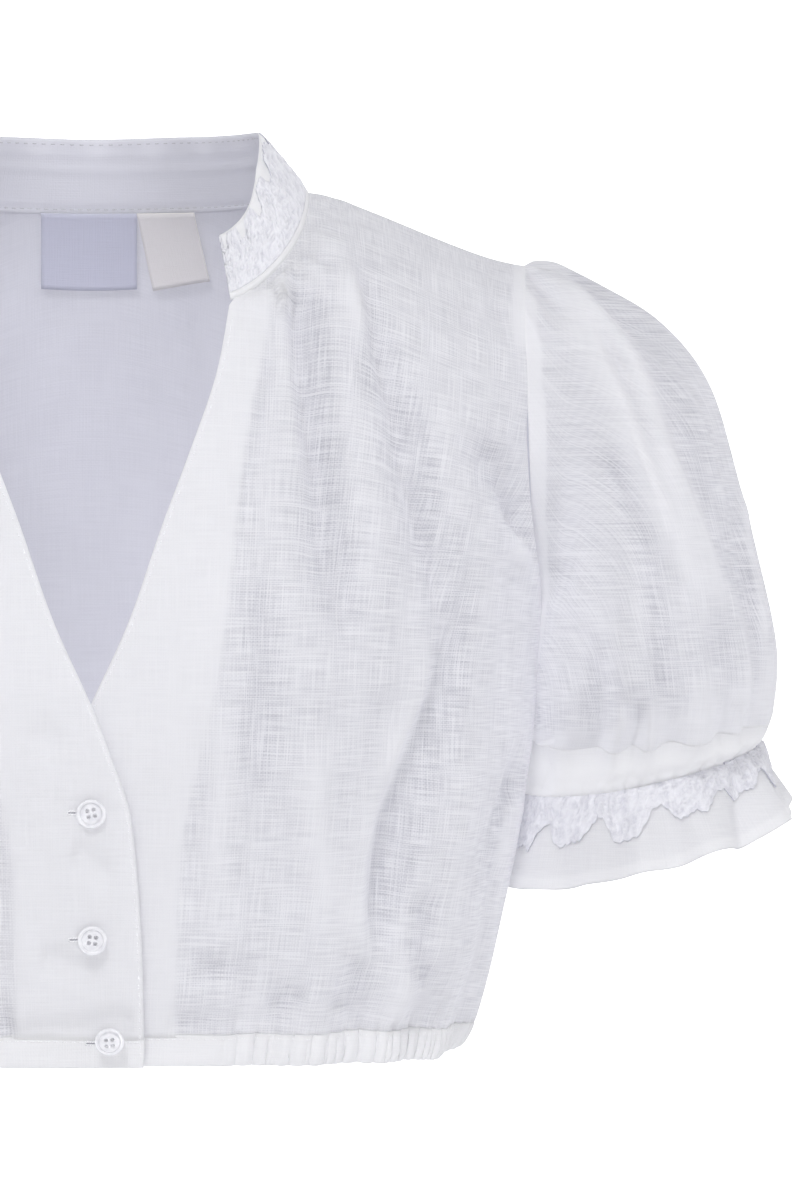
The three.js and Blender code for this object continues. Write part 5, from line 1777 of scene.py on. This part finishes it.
@dataclass(frozen=True)
class Label:
    """A bare label that hangs inside the back, its top edge caught in the collar seam.

    Its node has the name given. size is mm wide and mm long, and middle is mm from
    the centre back to the middle of its top edge. It leans sway mm to the wearer's left for each
    mm down, its left edge hangs shorter than its middle by the share rise, and its foot stands
    hang mm off the back.
    """

    name: str
    slot: str
    finish: Material
    size: Range
    middle: float
    sway: float = 0
    rise: float = 0
    hang: float = 2
    top: float = -4.4
    wall: float = 0.45
    clear: float = 1.4

    def build(self) -> None:
        """Builds the label."""
        width, drop = self.size
        u, v = grid(20, 16)
        across, down = mix(width / 2, -width / 2, u), mix(drop, 0, v)
        x = self.middle + across + self.sway * down
        z = self.top - down * (1 - self.rise * across / width)
        angle, station = BODICE.across(x, z - BODICE.shift(x, False))
        outward = BODICE.smooth_normals(180 - angle, station)
        inside = self.clear + self.hang * mix(0.3, 1, down / drop)
        points = BODICE.form(180 - angle, station) - outward * inside[..., None]
        cloth = Cloth(self.name, points, across, -down, self.wall)
        sew(cloth, self.slot, self.finish, Cut(self.size, 1, Held.HUNG))


def select_only(thing: Thing) -> None:
    """Selects one object, makes it the active one and leaves all others out."""
    bpy.ops.object.select_all(action="DESELECT")
    thing.select_set(True)
    bpy.context.view_layer.objects.active = thing


@dataclass
class Button:
    """A four-hole button on the placket, modelled lying on its back and then put in its place.

    reach is mm from the middle of the blouse to the wearer's left. The button is tilted forward by
    tilt degrees, and its holes are turned by twist degrees.
    """

    finishes: Finishes
    number: int
    reach: float
    height: float
    tilt: float
    twist: float
    radius: float = 5.75
    foot: float = 4.14
    rim: float = 2.6
    well: float = 1.5
    well_radius: float = 3.9
    well_slope: float = 0.5
    hole_radius: float = 0.72
    hole_reach: float = 1.75
    rounding: float = 0.32
    cloth_rise: float = 0.3
    casing_rise: float = 0.8
    thread_gap: float = 0.25

    def select(self, disc: Thing, top: bool) -> None:
        """Selects the flat face at the top or the bottom, and nothing else."""
        bm = bmesh.from_edit_mesh(disc.data)
        flat = [face for face in bm.faces if abs(face.normal.z) > 0.99]
        chosen = (max if top else min)(flat, key=lambda face: face.calc_center_median().z)
        for face in bm.faces:
            face.select_set(face is chosen)
        bmesh.update_edit_mesh(disc.data)

    def disc(self) -> Thing:
        """The turned blank: a narrow foot, a raised rim and a sunken well."""
        bpy.ops.mesh.primitive_cylinder_add(
            vertices=64, radius=self.radius * MM, depth=self.rim * MM, location=(0, 0, self.rim * MM / 2)
        )
        disc = bpy.context.object
        disc.name = f"button_{self.number}_pearl"
        bpy.ops.object.transform_apply(location=True)
        bpy.ops.object.mode_set(mode="EDIT")
        self.select(disc, False)
        bpy.ops.transform.resize(value=(self.foot / self.radius, self.foot / self.radius, 1))
        self.select(disc, True)
        bpy.ops.mesh.inset(thickness=(self.radius - self.well_radius - self.well_slope) * MM)
        bpy.ops.mesh.inset(thickness=self.well_slope * MM)
        bpy.ops.transform.translate(value=(0, 0, (self.well - self.rim) * MM))
        bpy.ops.object.mode_set(mode="OBJECT")
        return disc

    def drill(self, disc: Thing) -> None:
        """Cuts the four holes."""
        drills = []
        for quarter in range(4):
            turn = math.radians(90 * quarter + 45 + self.twist)
            x, y = (self.hole_reach * side * MM for side in (math.cos(turn), math.sin(turn)))
            place = (x, y, self.well * MM)
            bpy.ops.mesh.primitive_cylinder_add(
                vertices=20, radius=self.hole_radius * MM, depth=4 * self.rim * MM, location=place
            )
            drills.append(bpy.context.object)
        select_only(drills[0])
        for drill in drills:
            drill.select_set(True)
        bpy.ops.object.join()
        cut = disc.modifiers.new("holes", "BOOLEAN")
        cut.operation, cut.solver, cut.object = "DIFFERENCE", "EXACT", drills[0]
        select_only(disc)
        bpy.ops.object.modifier_apply(modifier="holes")
        bpy.data.objects.remove(drills[0])

    def round_edges(self, disc: Thing) -> None:
        """Rounds the rim and the holes, and smooths the faces."""
        bevel = disc.modifiers.new("rounded", "BEVEL")
        bevel.width, bevel.segments = self.rounding * MM, 3
        bevel.limit_method, bevel.angle_limit = "ANGLE", math.radians(28)
        bevel.harden_normals = True
        bpy.ops.object.shade_smooth()
        bpy.ops.object.modifier_apply(modifier="rounded")

    def build(self, surface: Surface) -> None:
        """Models the button and lays it on the right front.

        Args:
            surface: the right front's surface, as built on the wearer's left.
        """
        disc = self.disc()
        self.drill(disc)
        self.round_edges(disc)
        angle, station = (np.array([x]) for x in BODICE.across(-self.reach, self.height))
        point = Vector(surface(angle, station)[0])
        outward = Vector(normals(surface, angle, station, *WIDE_STEP)[0])
        point.x, outward.x = -point.x, -outward.x
        on_casing = self.height < BODICE.casing_top + self.radius
        raised = self.cloth_rise + (self.casing_rise if on_casing else 0) + self.thread_gap
        raised = raised + self.foot * math.sin(math.radians(self.tilt))
        turned = Vector((0, 0, 1)).rotation_difference(outward).to_matrix().to_4x4()
        leaned = Matrix.Rotation(math.radians(-self.tilt), 4, "X")
        disc.data.transform(Matrix.Translation((point + outward * raised) * MM) @ turned @ leaned)
        dress(disc, "pearl", self.finishes.pearl, (f"button_{self.number}",))


# Satin stitch from the middle of the slit outwards: mm from it, mm above the cloth, and thread, or none where
# the slit is painted shadow
SATIN_STITCH = Table(
    "off rise thread",
    (0.04, 0, 0),
    (0.24, 0, 0),
    (0.34, 0.08, 1),
    (0.6, 0.2, 1),
    (0.85, 0.16, 1),
    (0.95, -0.2, 1),
)


@dataclass
class Buttonhole:
    """A worked buttonhole: a slit painted as shadow, with satin stitches round it, level across the placket.
    """

    finishes: Finishes
    number: int
    reach: float
    height: float
    length: float = 11.5
    beside: float = 3.7
    ribs: int = 30
    rib_height: float = 0.07
    rise: float = 0.62
    wall: float = 0.12
    # Below 1, the satin stitch is tinted a little towards the painted shadow of the slit.
    layers: float = 0.8

    def build(self, surface: Surface) -> None:
        """Models the buttonhole on the right front.

        Args:
            surface: the right front's surface, as built on the wearer's left.
        """
        u, v = grid(150, SATIN_STITCH.last)
        place = v * SATIN_STITCH.last
        off, rise, thread = (SATIN_STITCH.read(name, place) for name in SATIN_STITCH.columns)
        half = self.length / 2 - SATIN_STITCH.columns["off"][-1]
        # Along the slit, round its end, back and round the other end
        walk = (0, 0.38, 0.5, 0.88, 1)
        straight = np.interp(u, walk, (-half, half, half, -half, -half))
        turn = np.radians(np.interp(u, walk, (90, 90, -90, -90, -270)))
        x = self.beside - self.reach + straight + off * np.cos(turn)
        angle, station = BODICE.across(x, self.height + off * np.sin(turn))
        rise = self.rise + rise + self.rib_height * thread * np.sin(u * math.tau * self.ribs)
        points = surface(angle, station) + normals(surface, angle, station, *FINE_STEP) * rise[..., None]
        # No thread paints the slit as shadow; the thread itself is drawn at self.layers, a little darker.
        layers = self.layers * np.clip(thread, 0, 1)
        around = u * 2 * self.length
        cloth = Cloth(f"buttonhole_{self.number}", points, around, off, self.wall, layers, True, True)
        dress(cloth.build(), "linen", self.finishes.thread)


# Each button's number, reach, height, tilt and twist
BUTTONS = (
    (1, 0, -245, 0, 12),
    (2, 0.5, -294, 10, -8),
    (3, 7, -334.5, 30, 5),
)


@dataclass(frozen=True)
class Lamp:
    """A round soft light that points at the blouse. Without shadows, the sheer cloth doesn't stop it."""

    name: str
    place: tuple[float, float, float]
    size: float
    power: float
    shadows: bool
    target: tuple[float, float, float] = (0.1, 0, -0.17)

    def build(self) -> None:
        """Hangs the lamp."""
        data = bpy.data.lights.new(self.name, "AREA")
        data.use_shadow = self.shadows
        data.shape = "DISK"
        data.size = self.size
        data.energy = self.power
        lamp = bpy.data.objects.new(self.name, data)
        bpy.context.collection.objects.link(lamp)
        lamp.location = self.place
        aim = Vector(self.target) - Vector(self.place)
        lamp.rotation_euler = aim.to_track_quat("-Z", "Y").to_euler()


LAMPS = (
    Lamp("key", (-0.5, -2.0, 1.5), 0.8, 25.5, True),
    Lamp("top", (0.4, -0.8, 2.4), 1.0, 12, True),
    Lamp("left", (-2.4, -1.7, 0.1), 1.2, 17.5, False),
    Lamp("right", (2.6, -1.6, -0.1), 1.2, 23.5, False),
    Lamp("low", (0.6, -2.4, -0.9), 1.2, 9.5, True),
)


@dataclass
class Studio:
    """A plain white studio: paper floor and backdrop, soft light, and the camera."""

    distance: float = 2.6
    eye_height: float = -0.164
    aim_x: float = 0.1236
    view_height: float = 0.48
    sensor: float = 36
    room: Range = (0.38, 0.5)
    paper_size: float = 8

    def camera(self) -> None:
        """Stands the camera before the blouse, turned a little to the wearer's left."""
        data = bpy.data.cameras.new("camera")
        data.sensor_fit = "VERTICAL"
        data.sensor_height = self.sensor
        data.lens = self.sensor * self.distance / self.view_height
        eye = bpy.data.objects.new("camera", data)
        bpy.context.collection.objects.link(eye)
        eye.location = (0, -self.distance, self.eye_height)
        eye.rotation_euler = (math.pi / 2, 0, -math.atan2(self.aim_x, self.distance))
        bpy.context.scene.camera = eye

    def light(self) -> None:
        """A bright room, a little brighter above, and the lamps."""
        world = bpy.context.scene.world or bpy.data.worlds.new("room")
        bpy.context.scene.world = world
        world.use_nodes = True
        tree = world.node_tree
        tree.nodes.clear()
        ways = add(tree, "TexCoord").outputs["Generated"]
        up = add(tree, "SeparateXYZ", {0: ways}).outputs[2]
        glow = rescale(tree, up, (-0.8, 0.9), self.room)
        room = add(tree, "Background", {"Color": linear("#FFFFFF"), "Strength": glow})
        add(tree, "OutputWorld", {"Surface": room.outputs[0]})
        for lamp in LAMPS:
            lamp.build()

    def paper(self, name: str, place: tuple[float, float, float], lean: float, finish: PlainPaper) -> None:
        """A sheet of the studio's paper, leaned back from level by some degrees."""
        turn = (math.radians(lean), 0, 0)
        bpy.ops.mesh.primitive_plane_add(size=self.paper_size, location=place, rotation=turn)
        sheet = bpy.context.object
        sheet.name = name
        sheet.data.materials.append(finish.material())

    def build(self) -> None:
        """Sets up the whole studio."""
        bpy.context.scene.view_settings.view_transform = "Standard"
        self.camera()
        self.light()
        self.paper("floor", (0, 0, -1.1), 0, PlainPaper(colour="#F4F4F6"))
        self.paper("backdrop", (0, 3.5, 1.5), 90, PlainPaper("lit_paper", glow=1.0))


def main() -> None:
    """Builds the studio and the blouse, piece by piece."""
    logging.basicConfig(level=logging.INFO, format="%(name)s %(message)s")
    Studio().build()
    finishes = Finishes(
        linen=LINEN.material(),
        double_linen=DOUBLE_LINEN.material(),
        lace=LACE.material(),
        label_weave=LABEL_WEAVE.material(),
        label_tape=LABEL_TAPE.material(),
        pearl=PearlPlastic().material(),
        thread=SewingThread().material(),
    )
    stitching = Stitching(finishes)
    panels = BodyPanels(finishes, stitching)
    panels.build()
    right_front = panels.right_surface()
    for number, reach, height, tilt, twist in BUTTONS:
        Button(finishes, number, reach, height, tilt, twist).build(right_front)
        Buttonhole(finishes, number, reach, height).build(right_front)
    Collar(finishes, stitching).build()
    stitching.build()
    for word, mirror in (("left", False), ("right", True)):
        Sleeve(finishes, word, mirror).build()
    Label("neck_label", "label_weave", finishes.label_weave, (40, 28.5), -0.8).build()
    Label("size_label", "label_tape", finishes.label_tape, (23.6, 28), 30.9, 0.247, 0.104, 2.6).build()


if __name__ == "__main__":
    main()
